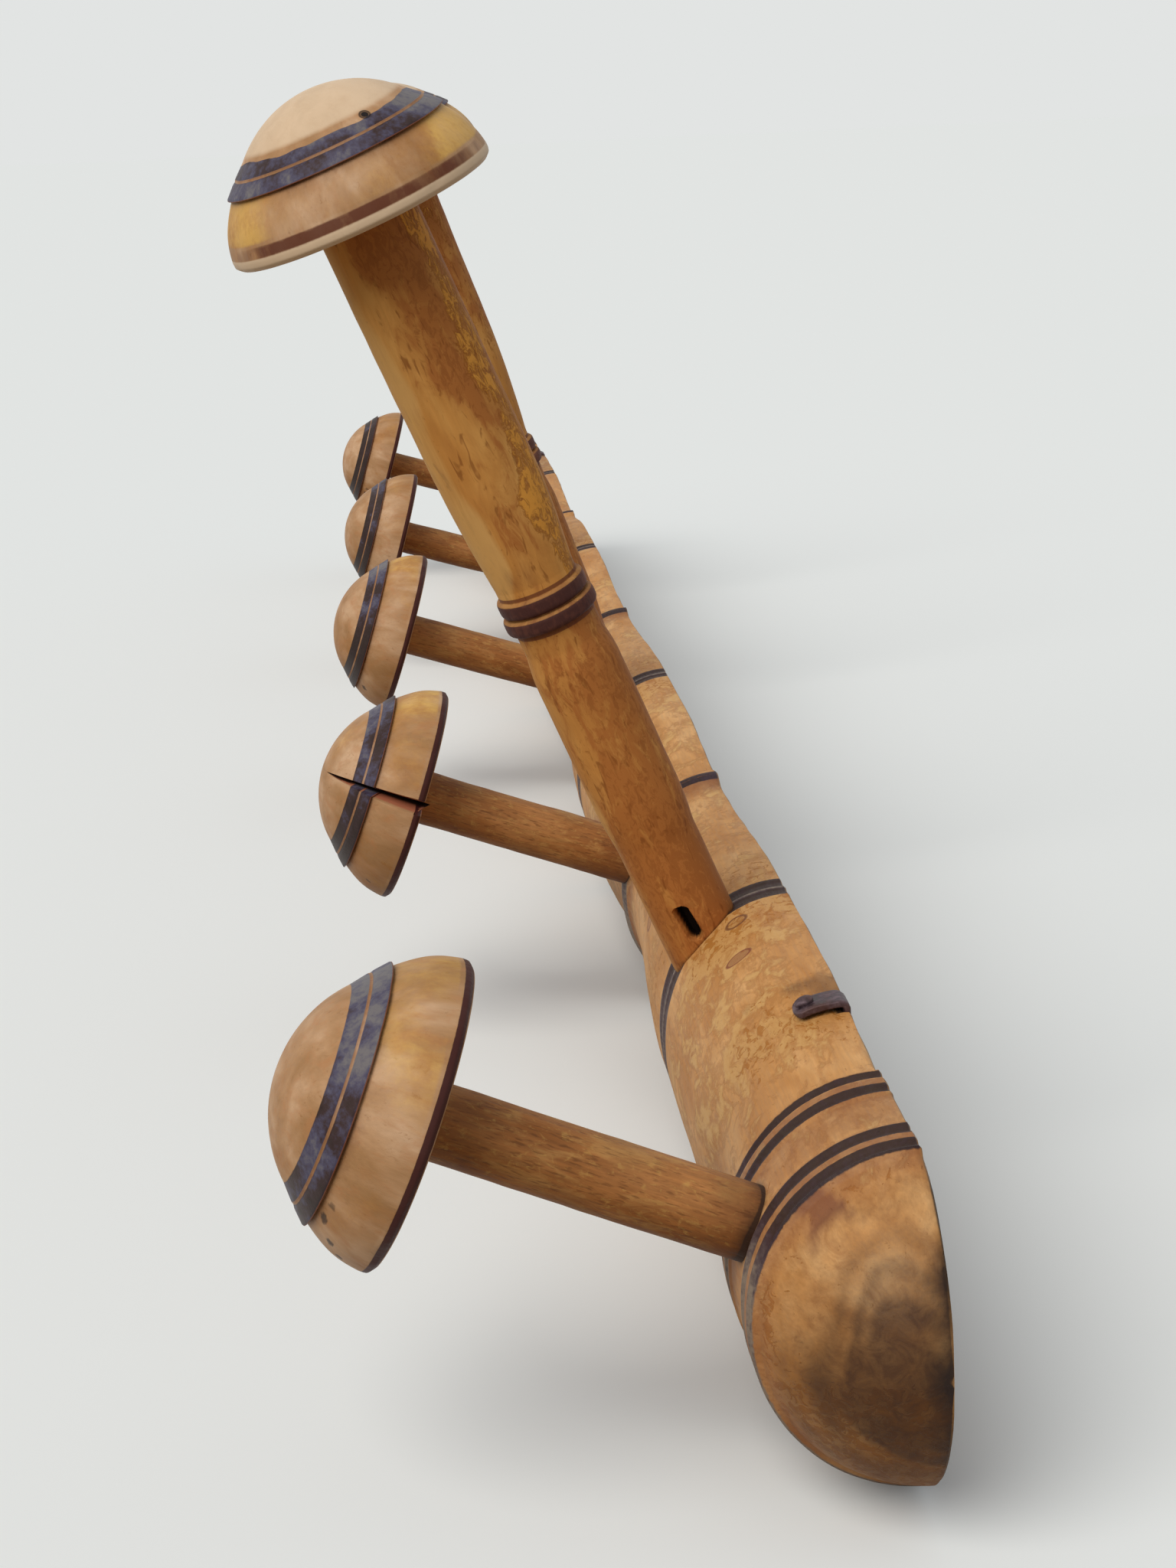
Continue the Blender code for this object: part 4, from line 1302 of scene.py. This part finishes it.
@dataclass
class HatArm:
    """Tall turned arm: a swelling foot, a double roll in the middle, a plain upper joint, and its knob.

    A bare arm has lost most of the stain on its front, where a pale strip is rubbed wood and partly painted
    light. Angles are in degrees, and a place where a mask changes is a height and the run of the change.
    """

    number: int
    x: float
    rise: float
    splay: float = 6.0
    seat: float = 47.5
    length: float = 0.1545
    foot_r: float = 0.0061
    body_r: float = 0.0087
    flare: float = 0.0300
    neck: float = 0.0095
    neck_r: float = 0.0078
    upper_foot_r: float = 0.0080
    upper_flare: float = 0.0300
    top_r: float = 0.0095
    ring_at: float = 0.0747
    roll_pitch: float = 0.0037
    roll_radii: tuple[float, float] = (0.0093, 0.0089)
    groove_r: float = 0.0080
    plain: float = 0.0025
    sink: float = 0.008
    plug: float = 0.004
    nail_at: float = 0.0055
    nail_turn: float = 11.0
    slot_length: float = 0.0078
    slot_width: float = 0.0022
    slot_depth: float = 0.0040
    slot_lean: float = 0.10
    roll_stripe: float = 0.0015
    front_widens: tuple[float, float] = (0.142, 0.040)
    strip_widens: tuple[float, float] = (0.155, 0.050)
    stain_thickens: tuple[float, float] = (0.086, 0.042)
    foot_darkens: tuple[float, float] = (0.034, 0.016)
    wear: Wear = Wear(0.00016, 0.015, 0.004, 51)
    grain_step: Point = (0.37, 0.29, 0.13)
    knob_seed: int = 10
    bare: float = 1.0
    rows: int = 330
    columns: int = 132

    def axis(self, rail: Rail) -> Axis:
        """Frame of the arm: origin where it leaves the rail's face, z up along the shaft."""
        seat, rise = math.radians(self.seat), math.radians(self.rise)
        splay = math.copysign(math.radians(self.splay), self.x)
        a = abs(self.x)
        start, end = (0.0, rail.peg_spacing) if a < rail.peg_spacing else (rail.peg_spacing, rail.inner_pair)
        radius = float(rail.barrel(np.array((a - start) / (end - start))))
        depth = radius * float(rail.share(np.array(a)))
        level = math.cos(splay)
        return Axis.along((self.x, -depth * math.cos(seat), radius * math.sin(seat)),
                          (math.sin(splay), -math.cos(rise) * level, math.sin(rise) * level))

    def radius(self, z: Array) -> Array:
        """Radius along the arm: a joint that flares and necks in, a pair of rolls, a flaring upper joint.

        Args:
            z: Height above the rail's face.

        Returns:
            Radius at each height.
        """
        low, high = (self.ring_at + 3 * half * self.roll_pitch for half in BOTH_HALVES)
        lower = self.foot_r + (self.body_r - self.foot_r) * ease((z - self.plain) / self.flare)
        lower = lower - (self.body_r - self.neck_r) * ease((z - low + self.neck) / self.neck)
        v = np.clip((z - high) / self.upper_flare, 0, 1)
        upper = self.top_r - (self.top_r - self.upper_foot_r) * (1 - v) ** 2
        r = np.where(z < self.ring_at, lower, upper)
        r = r + (self.groove_r - r) * stripe(z, self.ring_at, 1.15 * self.roll_pitch, 0.6 * self.roll_pitch)
        for half, top in zip(BOTH_HALVES, self.roll_radii):
            away = np.abs(z - self.ring_at - half * self.roll_pitch) / (0.46 * self.roll_pitch)
            r = np.maximum(r, self.groove_r + (top - self.groove_r) * np.clip(1 - away ** 4, 0, 1) ** 0.5)
        return r

    def build(self, rail: Rail, wood: WornBeech, knob: Knob, knob_wood: WornBeech) -> list[Piece]:
        """Build and dress the arm and its knob.

        The arm is a circle carried along its axis. Its columns crowd round the nail's slot: the angle is the
        turn less four fifths of its sine. The slot is a leaning stadium sunk into the foot.

        Args:
            rail: Rail that holds the arm.
            wood: Finish of the arm.
            knob: Knob on the arm.
            knob_wood: Finish of the knob.

        Returns:
            Arm and knob.
        """
        axis, number = self.axis(rail), self.number
        places = [(self.nail_at, 6 * MM, 5.0), (self.ring_at, 8 * MM, 7.0)]
        z = crowded(-self.sink, self.length + self.plug, self.rows, places)[:, None]
        turn = full_turn(self.columns)
        nail_turn = math.radians(self.nail_turn)
        slot_angle = -nail_turn if self.x > 0 else math.pi + nail_turn
        angle = slot_angle + turn - 0.8 * np.sin(turn)
        r = self.radius(z)
        local = around(r, angle, z)
        offset = np.array(self.grain_step) * number
        uneven = self.wear.at(local + offset)
        across = turned_by(angle, slot_angle) * self.foot_r - self.slot_lean * (self.nail_at - z)
        run = np.maximum(np.abs(z - self.nail_at) - (self.slot_length - self.slot_width) / 2, 0)
        slot = ease((self.slot_width / 2 - np.hypot(across, run)) / (0.4 * MM) + 0.5)
        local[..., :2] *= (1 + (uneven - self.slot_depth * slot) / r)[..., None]
        points, grain = axis.place(local), local + offset
        masks = self.masks(rail.gap(points), grain, angle, z, slot)
        arm = make_piece(f"beech_arm_{number}", f"hat_arm_{number}", wood, points, grain, masks)
        cap = knob.build(f"arm_knob_{number}", f"hat_knob_{number}", axis.moved(self.length), knob_wood,
                         number + self.knob_seed)
        return [arm, cap]

    def masks(self, gap: Array, grain: Array, angle: Array, z: Array, slot: Array) -> dict[Mask, Array]:
        """Work out the dark rolls, the painted highlights on their lips, the dark joint at the rail, the
        painted shade under the knob and in the nail's slot, the flaked side, and the rubbed side, which is
        partly painted light.

        Args:
            gap: Distance of each point from the rail's face.
            grain: Place of each point in the grain.
            angle: Angle of each column, 0 facing along the rail.
            z: Height of each row.
            slot: How far each point lies inside the nail's slot.

        Returns:
            Mask values by mask.
        """
        drift, fine = lattice_noise(grain, 9 * MM, 53), lattice_noise(grain, 3 * MM, 54)
        rolls = [self.ring_at + half * self.roll_pitch for half in BOTH_HALVES]
        shift, lip = 0.08 * self.roll_pitch, 0.4 * self.roll_pitch
        scorch = most(*[stripe(z, roll - shift, self.roll_stripe, 0.4 * MM) for roll in rolls])
        # painted highlight on the upper lip of each roll
        lips = 0.5 * most(*[stripe(z, roll + lip, 0.4 * MM, 0.3 * MM) for roll in rolls])
        off_ring = np.abs(z - self.ring_at) - 1.2 * self.roll_pitch
        ring_stain = np.where(off_ring < 0, 1.0, fade(off_ring, 4 * MM) * (0.5 + 0.8 * drift))
        # dark joint line at the rail, painted shade under the knob and painted shade in the nail's slot
        dirt = most(0.6 * fade(gap, 0.6 * MM), 0.55 * fade(self.length - z, 2.0 * MM), ease(1.7 * slot - 0.3))

        upper = ease((z - self.ring_at) / (4 * MM))
        lower = 1 - upper
        facing = turned_by(angle, 0.0 if self.x > 0 else math.pi) * math.copysign(1.0, self.x)
        across = np.sin(np.clip(facing, -math.pi / 2, math.pi / 2))
        wall_side = ease((across - 0.42 + 0.25 * drift) / 0.25) * (1 - 0.7 * ease((across - 0.93) / 0.06))
        golden_to = -0.82 + 0.5 * beneath(z, self.front_widens)
        covered = 1 - self.bare * (1 - ease((across - golden_to + 0.35 * drift + 0.25 * fine) / 0.8))
        thick = ease((z - self.stain_thickens[0]) / self.stain_thickens[1])
        old_stain = upper * (0.26 + 0.42 * covered * thick - 0.2 * wall_side) + 0.12 * drift
        old_stain = old_stain + lower * (0.55 + 0.12 * across + 0.2 * beneath(z, self.foot_darkens))
        # pale front strip: rubbed wood, partly painted light
        front = upper * ease((-across - 0.68 + 0.26 * beneath(z, self.strip_widens) + 0.15 * drift) / 0.25)
        front = self.bare * (front + 0.6 * lower * ease((-across - 0.82 + 0.1 * drift) / 0.15))
        flake = wall_side * (0.3 + 0.7 * self.bare) * (0.1 + 0.24 * upper)
        flake = flake + 0.1 * drift * upper - 0.06 * lower
        return {Mask.SCORCH: scorch, Mask.WORN: 0.4 + 0.6 * drift, Mask.STAIN: ring_stain * (1 - 0.7 * lips),
                Mask.DIRT: dirt, Mask.FLAKE: flake, Mask.PALE: most(front * (0.75 + 0.3 * drift), lips),
                Mask.HEART: old_stain}


@dataclass
class HangerStrap:
    """Iron strap bent over the rail's top back edge, with a nail on top and one on the back."""

    side: Side
    sizes: StrapSizes = field(default_factory=StrapSizes)
    rows: int = 150
    columns: int = 64
    nail_columns: int = 40

    def path(self, top: float, share: float) -> tuple[Array, Array]:
        """Middle line of the strap in the YZ plane: up the back, round a bend and over the rail's top.

        Args:
            top: Radius of the rail under the strap.
            share: Depth of the rail's section as a share of its radius.

        Returns:
            Points and outward normals as pairs of y and z.
        """
        sizes = self.sizes
        middle = top + sizes.clearance + sizes.thickness / 2
        straight = np.linspace(0, 1, 90)[:-1]
        corner = np.linspace(0, math.pi / 2, 24)
        over = np.linspace(math.asin(2 * sizes.bend / middle / share), math.radians(sizes.wrap), 60)
        foot, knee = top - sizes.drop, middle * math.cos(over[0]) - sizes.bend
        y = np.concatenate([0 * straight, -sizes.bend * (1 - np.cos(corner))]) - sizes.thickness / 2
        y = np.concatenate([y, -middle * share * np.sin(over)])
        z = np.concatenate([foot + (knee - foot) * straight, knee + sizes.bend * np.sin(corner),
                            middle * np.cos(over)])
        along = run_length(y, z)
        keep = np.concatenate([[True], np.diff(along) > 1e-7])
        places = [(sizes.drop - sizes.eye_drop, 4 * MM, 3.0), (along[-1] - 3 * MM, 4 * MM, 1.5)]
        s = crowded(0.0, along[-1], self.rows, places)
        line = np.stack([np.interp(s, along[keep], v[keep]) for v in (y, z)], axis=-1)
        step = np.gradient(line, axis=0)
        step /= np.linalg.norm(step, axis=1, keepdims=True)
        return line, np.stack([step[:, 1], -step[:, 0]], axis=-1)

    def build(self, rail: Rail, iron: ForgedIron) -> list[Piece]:
        """Build and dress the strap and its nails.

        The strap is a rounded rectangle, a superellipse, carried along the bent path; both ends are rounded,
        and the hanging eye is a round pit sunk through its thickness.

        Args:
            rail: Rail that carries the strap.
            iron: Finish of the iron.

        Returns:
            Strap and nails.
        """
        sizes, word = self.sizes, self.side.name.lower()
        x0 = self.side.value * rail.strap_at
        top = float(rail.radius(x0 + sizes.width * np.array(BOTH_HALVES)).max())
        share = float(rail.share(np.array(x0)))
        line, normal = self.path(top, share)
        s = run_length(*line.T)[:, None]
        y, z = line[:, 0:1], line[:, 1:2]
        turn = full_turn(self.columns)
        flat, thick = (np.sign(v) * np.abs(v) ** 0.35 for v in (np.cos(turn), np.sin(turn)))
        from_end = np.minimum(s, s[-1] - s)
        taper = np.sqrt(np.clip(1 - (1 - np.minimum(from_end / (1.6 * MM), 1.0)) ** 2, 0.02, 1))
        across = flat * sizes.width / 2 * taper * (1 + 0.05 * np.sin(s / (5.3 * MM) + x0))
        out = thick * sizes.thickness / 2 * np.clip(taper * 1.3, 0.2, 1.0)
        on_back, outer = y > -sizes.thickness, thick > 0
        apart = np.hypot(across, z - top + sizes.eye_drop)
        out = out - sizes.eye_depth * ease((sizes.eye - apart) / (0.3 * MM) + 0.5) * on_back * outer
        skin = np.stack([across + x0, s + 0 * across, out], axis=-1)
        hammered = 0.12 * MM * lattice_noise(skin, 3 * MM, 61)
        out = out + outer * np.where(y < -sizes.thickness, np.maximum(hammered, 0), -0.5 * np.abs(hammered))
        points = np.stack([x0 + across, y + normal[:, 0:1] * out, z + normal[:, 1:2] * out], axis=-1)
        strap = make_piece(f"iron_strap_{word}", f"hanger_strap_{word}", iron, points)
        wrap = math.radians(sizes.nail_wrap)
        outward = (0.0, -math.sin(wrap) / share, math.cos(wrap))
        radius = top + sizes.clearance + sizes.thickness
        seats = {"top": Axis.along((x0, -radius * share * math.sin(wrap), radius * math.cos(wrap)), outward),
                 "back": Axis.along((x0, -0.6 * MM, top - sizes.nail_drop), (0.0, 1.0, 0.0))}
        return [strap] + [self.nail(kind, axis, word, iron) for kind, axis in seats.items()]

    def nail(self, kind: str, axis: Axis, word: str, iron: ForgedIron) -> Piece:
        """Build and dress one nail: a shank and a hammered head, low on the back and domed on top.

        Args:
            kind: "top" or "back".
            axis: Frame with its origin under the head and z outwards.
            word: Side of the rail in words.
            iron: Finish of the iron.

        Returns:
            The nail.
        """
        sizes = self.sizes
        rise = sizes.head_height * (1.0 if kind == "top" else 0.45)
        dome = np.linspace(math.pi / 2, 0.05, 14)
        shank_r = [0.2 * MM, sizes.shank, sizes.shank, 0.9 * sizes.head]
        shank_z = [-9 * MM, -8 * MM, -0.2 * MM, -0.1 * MM]
        r = np.concatenate([shank_r, sizes.head * np.sin(dome)])[:, None]
        z = np.concatenate([shank_z, rise * (0.35 + 0.65 * np.cos(dome))])[:, None]
        local = around(r, full_turn(self.nail_columns), z)
        local[..., :2] *= (1 + 0.10 * lattice_noise(local + axis.origin, 1.6 * MM, 71))[..., None]
        return make_piece(f"iron_nail_{kind}_{word}", f"strap_nail_{kind}_{word}", iron, axis.place(local))


SCORCH_ON_RAIL = ("#1E131A", "#2E2230", "#4E4448", "#82766A")
# dark scorch tones; the knobs' lighter blue-grey tones are a painted sheen
SCORCH_ON_KNOB = ("#1A1014", "#2C1E24", "#46465E", "#6A686C")
SCORCH_ON_ARM = ("#462A28", "#684036", "#94664E")


def rail_wood(spots: tuple[Spot, ...]) -> WornBeech:
    """Finish of the rail: honey-tan beech under crazed golden varnish, with grey-worn scorched rings."""
    coats = (
        Coat(("#AE7440",), "patch", 0.0, 0.18, 0.5),
        Coat(("#A06A38",), "flake", 0.23, 0.3, 0.55, 1.0, Mask.FLAKE),
        Coat(("#DAB072",), "flake", 0.29, 0.4, 0.7, 1.0, Mask.FLAKE, 0.05),
        Coat(("#7E4E22",), "crumb", 0.12, 0.22, 0.55, relief=-0.05),
        Coat(("#B47A38",), "crackle", 0.15, 0.75, 0.55, 1.0, Mask.GOLD),
        Coat(("#A2641E",), "scab", 0.64, 0.76, 0.75, 2.6, Mask.GOLD, 0.06),
        Coat(("#7A4A34",), "ragged", 0.05, 0.9, 0.85, 0.35, Mask.STAIN),
        Coat(("#7A5834", "#96724A", "#AE8A5E"), "patch", 0.2, 0.7, 0.9, 0.8, Mask.RAW),
        # dark heart and grime, and painted shade on the domes' undersides
        Coat(("#3C2416",), "patch", 0.1, 1.05, 0.93, 0.45, Mask.HEART),
        Coat(SCORCH_ON_RAIL, "ragged", 0.35, 0.6, 0.95, 0.6, Mask.SCORCH, -0.03),
        Coat(("#20130E",), "ragged", 0.2, 0.9, 0.95, 0.35, Mask.DIRT))
    return WornBeech("worn_beech_rail", Slot.RAIL, ("#BA8248", "#CA955C", "#D7A770"), coats,
                     roughness=(0.5, 0.66), specular=0.22, spots=spots)


def peg_wood() -> WornBeech:
    """Finish of the pegs: brown-stained beech with fine dark pores and rubbed tan patches."""
    coats = (
        Coat(("#C09054",), "patch", 0.02, 0.14, 0.55),
        Coat(("#C89C56",), "crumb", 0.05, 0.16, 0.5),
        Coat(("#5E3616",), "pore", 0.07, 0.2, 0.5, relief=-0.05),
        Coat(("#C39A5E",), "fibre", 0.3, 0.9, 0.6, 0.5, Mask.PALE),
        Coat(("#6A3C1C",), "crackle", 0.05, 0.9, 0.65, 0.7, Mask.STAIN),
        # grime, and painted shade under the knobs
        Coat(("#2A180E",), "ragged", 0.25, 0.95, 0.95, 0.4, Mask.DIRT))
    return WornBeech("stained_beech_peg", Slot.PEG, ("#8A5426", "#A26A38", "#B47C48"), coats,
                     roughness=(0.5, 0.66), specular=0.25, fibre_depth=0.2)


def arm_wood() -> WornBeech:
    """Finish of the hat arms: golden brown beech under ragged remains of dark stain, bare at the edges, where
    a pale strip is partly painted light.
    """
    coats = (
        Coat(("#BC8042",), "patch", 0.2, 0.5, 0.75, 1.3, Mask.HEART),
        Coat(("#AE6C36",), "patch", 0.42, 0.6, 0.8, 1.7, Mask.HEART, 0.02),
        Coat(("#94582A",), "crackle", 0.62, 0.8, 0.55, 2.4, Mask.HEART),
        Coat(("#7A4218",), "crackle", 0.15, 0.27, 0.5, relief=-0.03),
        Coat(("#7E461C",), "dash", 0.11, 0.19, 0.6, relief=-0.03),
        Coat(("#96581E",), "crackle", 0.2, 0.28, 0.75, 1.0, Mask.FLAKE),
        Coat(("#EAA648",), "crackle", 0.28, 0.4, 0.85, 1.0, Mask.FLAKE, 0.07),
        # rubbed wood, painted light in the pale strip and painted highlights on the lips
        Coat(("#E2B470",), "fibre", 0.25, 0.85, 0.75, 0.4, Mask.PALE),
        Coat(("#6A3A28",), "patch", 0.2, 0.9, 0.85, 0.6, Mask.STAIN),
        Coat(SCORCH_ON_ARM, "ragged", 0.35, 0.6, 0.95, 0.5, Mask.SCORCH, -0.03),
        # dirt, and painted shade under the knobs and in the slots
        Coat(("#150C08",), "ragged", 0.2, 0.8, 1.0, 0.25, Mask.DIRT))
    return WornBeech("worn_beech_arm", Slot.ARM, ("#C08240", "#CE924C", "#DAA25A"), coats,
                     roughness=(0.55, 0.7), specular=0.12, fibre_depth=0.05)


def knob_wood(spots: tuple[Spot, ...]) -> WornBeech:
    """Finish of the knobs: pale tan beech with dark bands, whose blue-grey sheen is painted on as a
    reflection.
    """
    coats = (
        Coat(("#B27A4E",), "patch", 0.0, 0.2, 0.5),
        Coat(("#8A5C30",), "crumb", 0.1, 0.2, 0.45, relief=-0.03),
        Coat(("#E2CAAC",), "patch", 0.25, 0.9, 0.85, 0.35, Mask.PALE),
        # golden varnish, on the knobs partly painted light and warm painted shade by tilt
        Coat(("#A0682C", "#C08A40", "#E2B45C"), "flake", 0.3, 0.8, 0.75, 0.7, Mask.GOLD),
        # stain, and on the knobs the painted shadow below the step
        Coat(("#5E2E20",), "ragged", 0.1, 0.9, 0.9, 0.4, Mask.STAIN),
        Coat(("#B98F58",), "patch", 0.3, 0.8, 0.8, 0.6, Mask.RAW),
        # painted light on the crack's lower wall
        Coat(("#A8644A",), "ragged", 0.3, 0.8, 0.9, 0.3, Mask.HEART),
        # scorched bands with a painted sheen
        Coat(SCORCH_ON_KNOB, "ragged", 0.35, 0.6, 0.96, 0.4, Mask.SCORCH, -0.03, 0.48),
        Coat(("#3A1418",), "ragged", 0.35, 0.6, 0.96, 0.4, Mask.RIM, -0.03),
        # dirt, and painted shade under the step and in the crack
        Coat(("#1E120C",), "ragged", 0.2, 0.9, 0.97, 0.25, Mask.DIRT))
    return WornBeech("worn_beech_knob", Slot.KNOB, ("#A27A52", "#B48C66", "#CAA684"), coats,
                     roughness=(0.44, 0.6), specular=0.16, fibre_depth=0.05, spots=spots)


@dataclass
class Studio:
    """Plain pale floor and backdrop, soft light from above and the camera at the photograph's angle."""

    camera_at: Point = (0.86195, -0.07406, 0.17878)
    camera_down: Point = (0.23005, -0.0594, -0.97137)
    camera_look: Point = (-0.97001, 0.0665, -0.23379)
    image_height: int = 2048
    focal_pixels: float = 3600.0
    sensor: float = 36.0
    clip_start: float = 0.01
    paper: str = "#F2F6F7"
    bounce: str = "#8A7A64"
    backdrop: str = "#E2E4E3"
    room: str = "#A4A6A8"
    key_from: Point = (0.52, -0.48, 0.70)
    key_colour: str = "#FFFAF2"
    key_power: float = 2.15
    key_spread: float = 50.0
    floor_size: float = 60.0
    floor_gap: float = 0.0004

    def seen(self, tree: Tree, unseen: str, shown: str) -> Socket:
        """Colour that differs between light and sight.

        Args:
            tree: Node tree to add to.
            unseen: Hex colour for the rays that light the object.
            shown: Hex colour for camera, mirror and glass rays.

        Returns:
            Colour output.
        """
        ray = add_node(tree, "ShaderNodeLightPath").outputs
        sight = ray["Is Camera Ray"]
        for kind in ("Is Glossy Ray", "Is Transmission Ray"):
            sight = add_node(tree, "ShaderNodeMath", {0: sight, 1: ray[kind]}, operation="MAXIMUM").outputs[0]
        return add_node(tree, "ShaderNodeMix", {0: sight, 6: linear(unseen), 7: linear(shown)},
                        data_type="RGBA").outputs[2]

    def floor(self) -> None:
        """Lay the floor under the lowest point: matt paper that keeps shadows and gives little light back."""
        z = CAD_BOX[0].z - self.floor_gap
        half = self.floor_size / 2
        mesh = bpy.data.meshes.new("paper_floor")
        corners = [(-half, -half, z), (half, -half, z), (half, half, z), (-half, half, z)]
        mesh.from_pydata(corners, [], [(0, 1, 2, 3)])
        floor = bpy.data.objects.new("paper_floor", mesh)
        bpy.context.scene.collection.objects.link(floor)
        made = bpy.data.materials.new("matt_paper")
        made.use_nodes = True
        tree = made.node_tree
        tree.nodes.remove(tree.nodes["Principled BSDF"])
        matt = add_node(tree, "ShaderNodeBsdfDiffuse", {"Color": self.seen(tree, self.bounce, self.paper)})
        tree.links.new(matt.outputs[0], tree.nodes["Material Output"].inputs["Surface"])
        mesh.materials.append(made)

    def lights(self) -> None:
        """Fill the room with even pale light and add one broad key from above, left of the camera."""
        world = bpy.data.worlds.new("pale_room")
        bpy.context.scene.world = world
        world.use_nodes = True
        tree = world.node_tree
        tree.links.new(self.seen(tree, self.room, self.backdrop), tree.nodes["Background"].inputs["Color"])
        lamp = bpy.data.lights.new("key_sun", "SUN")
        lamp.energy = self.key_power
        lamp.angle = math.radians(self.key_spread)
        lamp.color = linear(self.key_colour)[:3]
        item = bpy.data.objects.new("key_sun", lamp)
        item.rotation_euler = Vector(self.key_from).to_track_quat("Z", "Y").to_euler()
        bpy.context.scene.collection.objects.link(item)

    def camera(self) -> None:
        """Set the camera: its lens is the focal length in pixels on a sensor as tall as the image."""
        data = bpy.data.cameras.new("photo_camera")
        data.sensor_fit = "VERTICAL"
        data.sensor_height = self.sensor
        data.lens = self.sensor * self.focal_pixels / self.image_height
        data.clip_start = self.clip_start
        item = bpy.data.objects.new("photo_camera", data)
        back = -Vector(self.camera_look).normalized()
        right = (-Vector(self.camera_down)).cross(back).normalized()
        up = back.cross(right)
        turn = Matrix((right, up, back)).transposed().to_4x4()
        item.matrix_world = Matrix.Translation(self.camera_at) @ turn
        bpy.context.scene.collection.objects.link(item)
        bpy.context.scene.camera = item


@dataclass
class CoatRack:
    """The whole rack: rail, five short pegs, four hat arms and two iron straps."""

    rail: Rail = field(default_factory=Rail)
    peg_rises: tuple[float, ...] = (23.0, 20.4, 18.5, 17.0, 17.6)
    peg_reaches: tuple[float, ...] = (0.0810, 0.0757, 0.0740, 0.0716, 0.0745)
    peg_sheens: tuple[float, ...] = (0.4, 0.34, 0.1, 0.0, 0.0)
    arm_rises: tuple[float, ...] = (67.9, 70.6, 69.0, 68.0)
    arm_bare: tuple[float, ...] = (1.0, 0.15, 0.6, 0.9)
    arm_rim_stripe: tuple[float, float] = (0.0026, 0.0046)
    arm_sheen: float = 0.6
    split_knob: int = 2
    split: Crack = Crack(math.radians(6.5), 0.0036, 0.006, 0.008)
    worm_hole: Point = (0.0139, 0.0074, 0.0166)
    worm_hole_seed: int = 11

    def rail_point(self, x: float, angle: float) -> Point:
        """Place in the rail's grain of a point on its round face, by its x and its angle from the top."""
        turn = math.radians(angle)
        radius = float(self.rail.radius(np.array(x)))
        return (-self.rail.depth(x) * math.sin(turn), radius * math.cos(turn), x)

    def rail_spots(self) -> tuple[Spot, ...]:
        """Three burnt marks on the rail between peg 1 and peg 2."""
        return (Spot(self.rail_point(0.3527, 27.0), 2.2 * MM, 0.55 * MM, "#6A3E26", 0.2, 1.1),
                Spot(self.rail_point(0.3716, 32.4), 2.7 * MM, 0.55 * MM, "#7A3E30", 0.55, 0.8),
                Spot(self.rail_point(0.2900, 71.0), 1.6 * MM, 0.5 * MM, "#8A5638", 0.4, 2.0))

    def build(self) -> list[Piece]:
        """Build every piece and dress it.

        Returns:
            All pieces.
        """
        rail = self.rail
        pegs = [ShortPeg(k + 1, x, self.peg_rises[k], self.peg_reaches[k]) for k, x in enumerate(rail.pegs)]
        arms = [HatArm(k + 1, x, self.arm_rises[k], bare=self.arm_bare[k]) for k, x in enumerate(rail.arms)]
        shafts = [(peg.axis(), peg.radius) for peg in pegs]
        made = [rail.build(rail_wood(self.rail_spots()), shafts, StrapSizes())]
        hole = Knob().grain_shift(self.worm_hole_seed) + np.array(self.worm_hole)
        shaft, limb = peg_wood(), arm_wood()
        # the worm hole is a flat dark spot: the painted shade of a hole
        cap = knob_wood((Spot(tuple(hole), 0.9 * MM, 0.3 * MM, "#140A08", 1.0),))
        for peg, sheen in zip(pegs, self.peg_sheens):
            crack = self.split if peg.number == self.split_knob else None
            made += peg.build(rail, shaft, Knob(crack=crack, sheen=sheen), cap)
        for arm in arms:
            knob = Knob(rim_stripe=self.arm_rim_stripe, rubbed=1.0, sheen=self.arm_sheen,
                        faces_right=arm.x > 0)
            made += arm.build(rail, limb, knob, cap)
        iron = ForgedIron()
        for side in Side:
            made += HangerStrap(side).build(rail, iron)
        for arm in arms:
            iron.dress(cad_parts[f"arm_nail_{arm.number}"])
        return made


def main() -> None:
    logging.basicConfig(level=logging.INFO, format="%(name)s: %(message)s")
    for piece in CoatRack().build():
        LOG.info("%s, %d faces", piece.name, len(piece.data.polygons))
    studio = Studio()
    studio.floor()
    studio.lights()
    studio.camera()
    bpy.context.scene.view_settings.view_transform = "Standard"


if __name__ == "__main__":
    main()
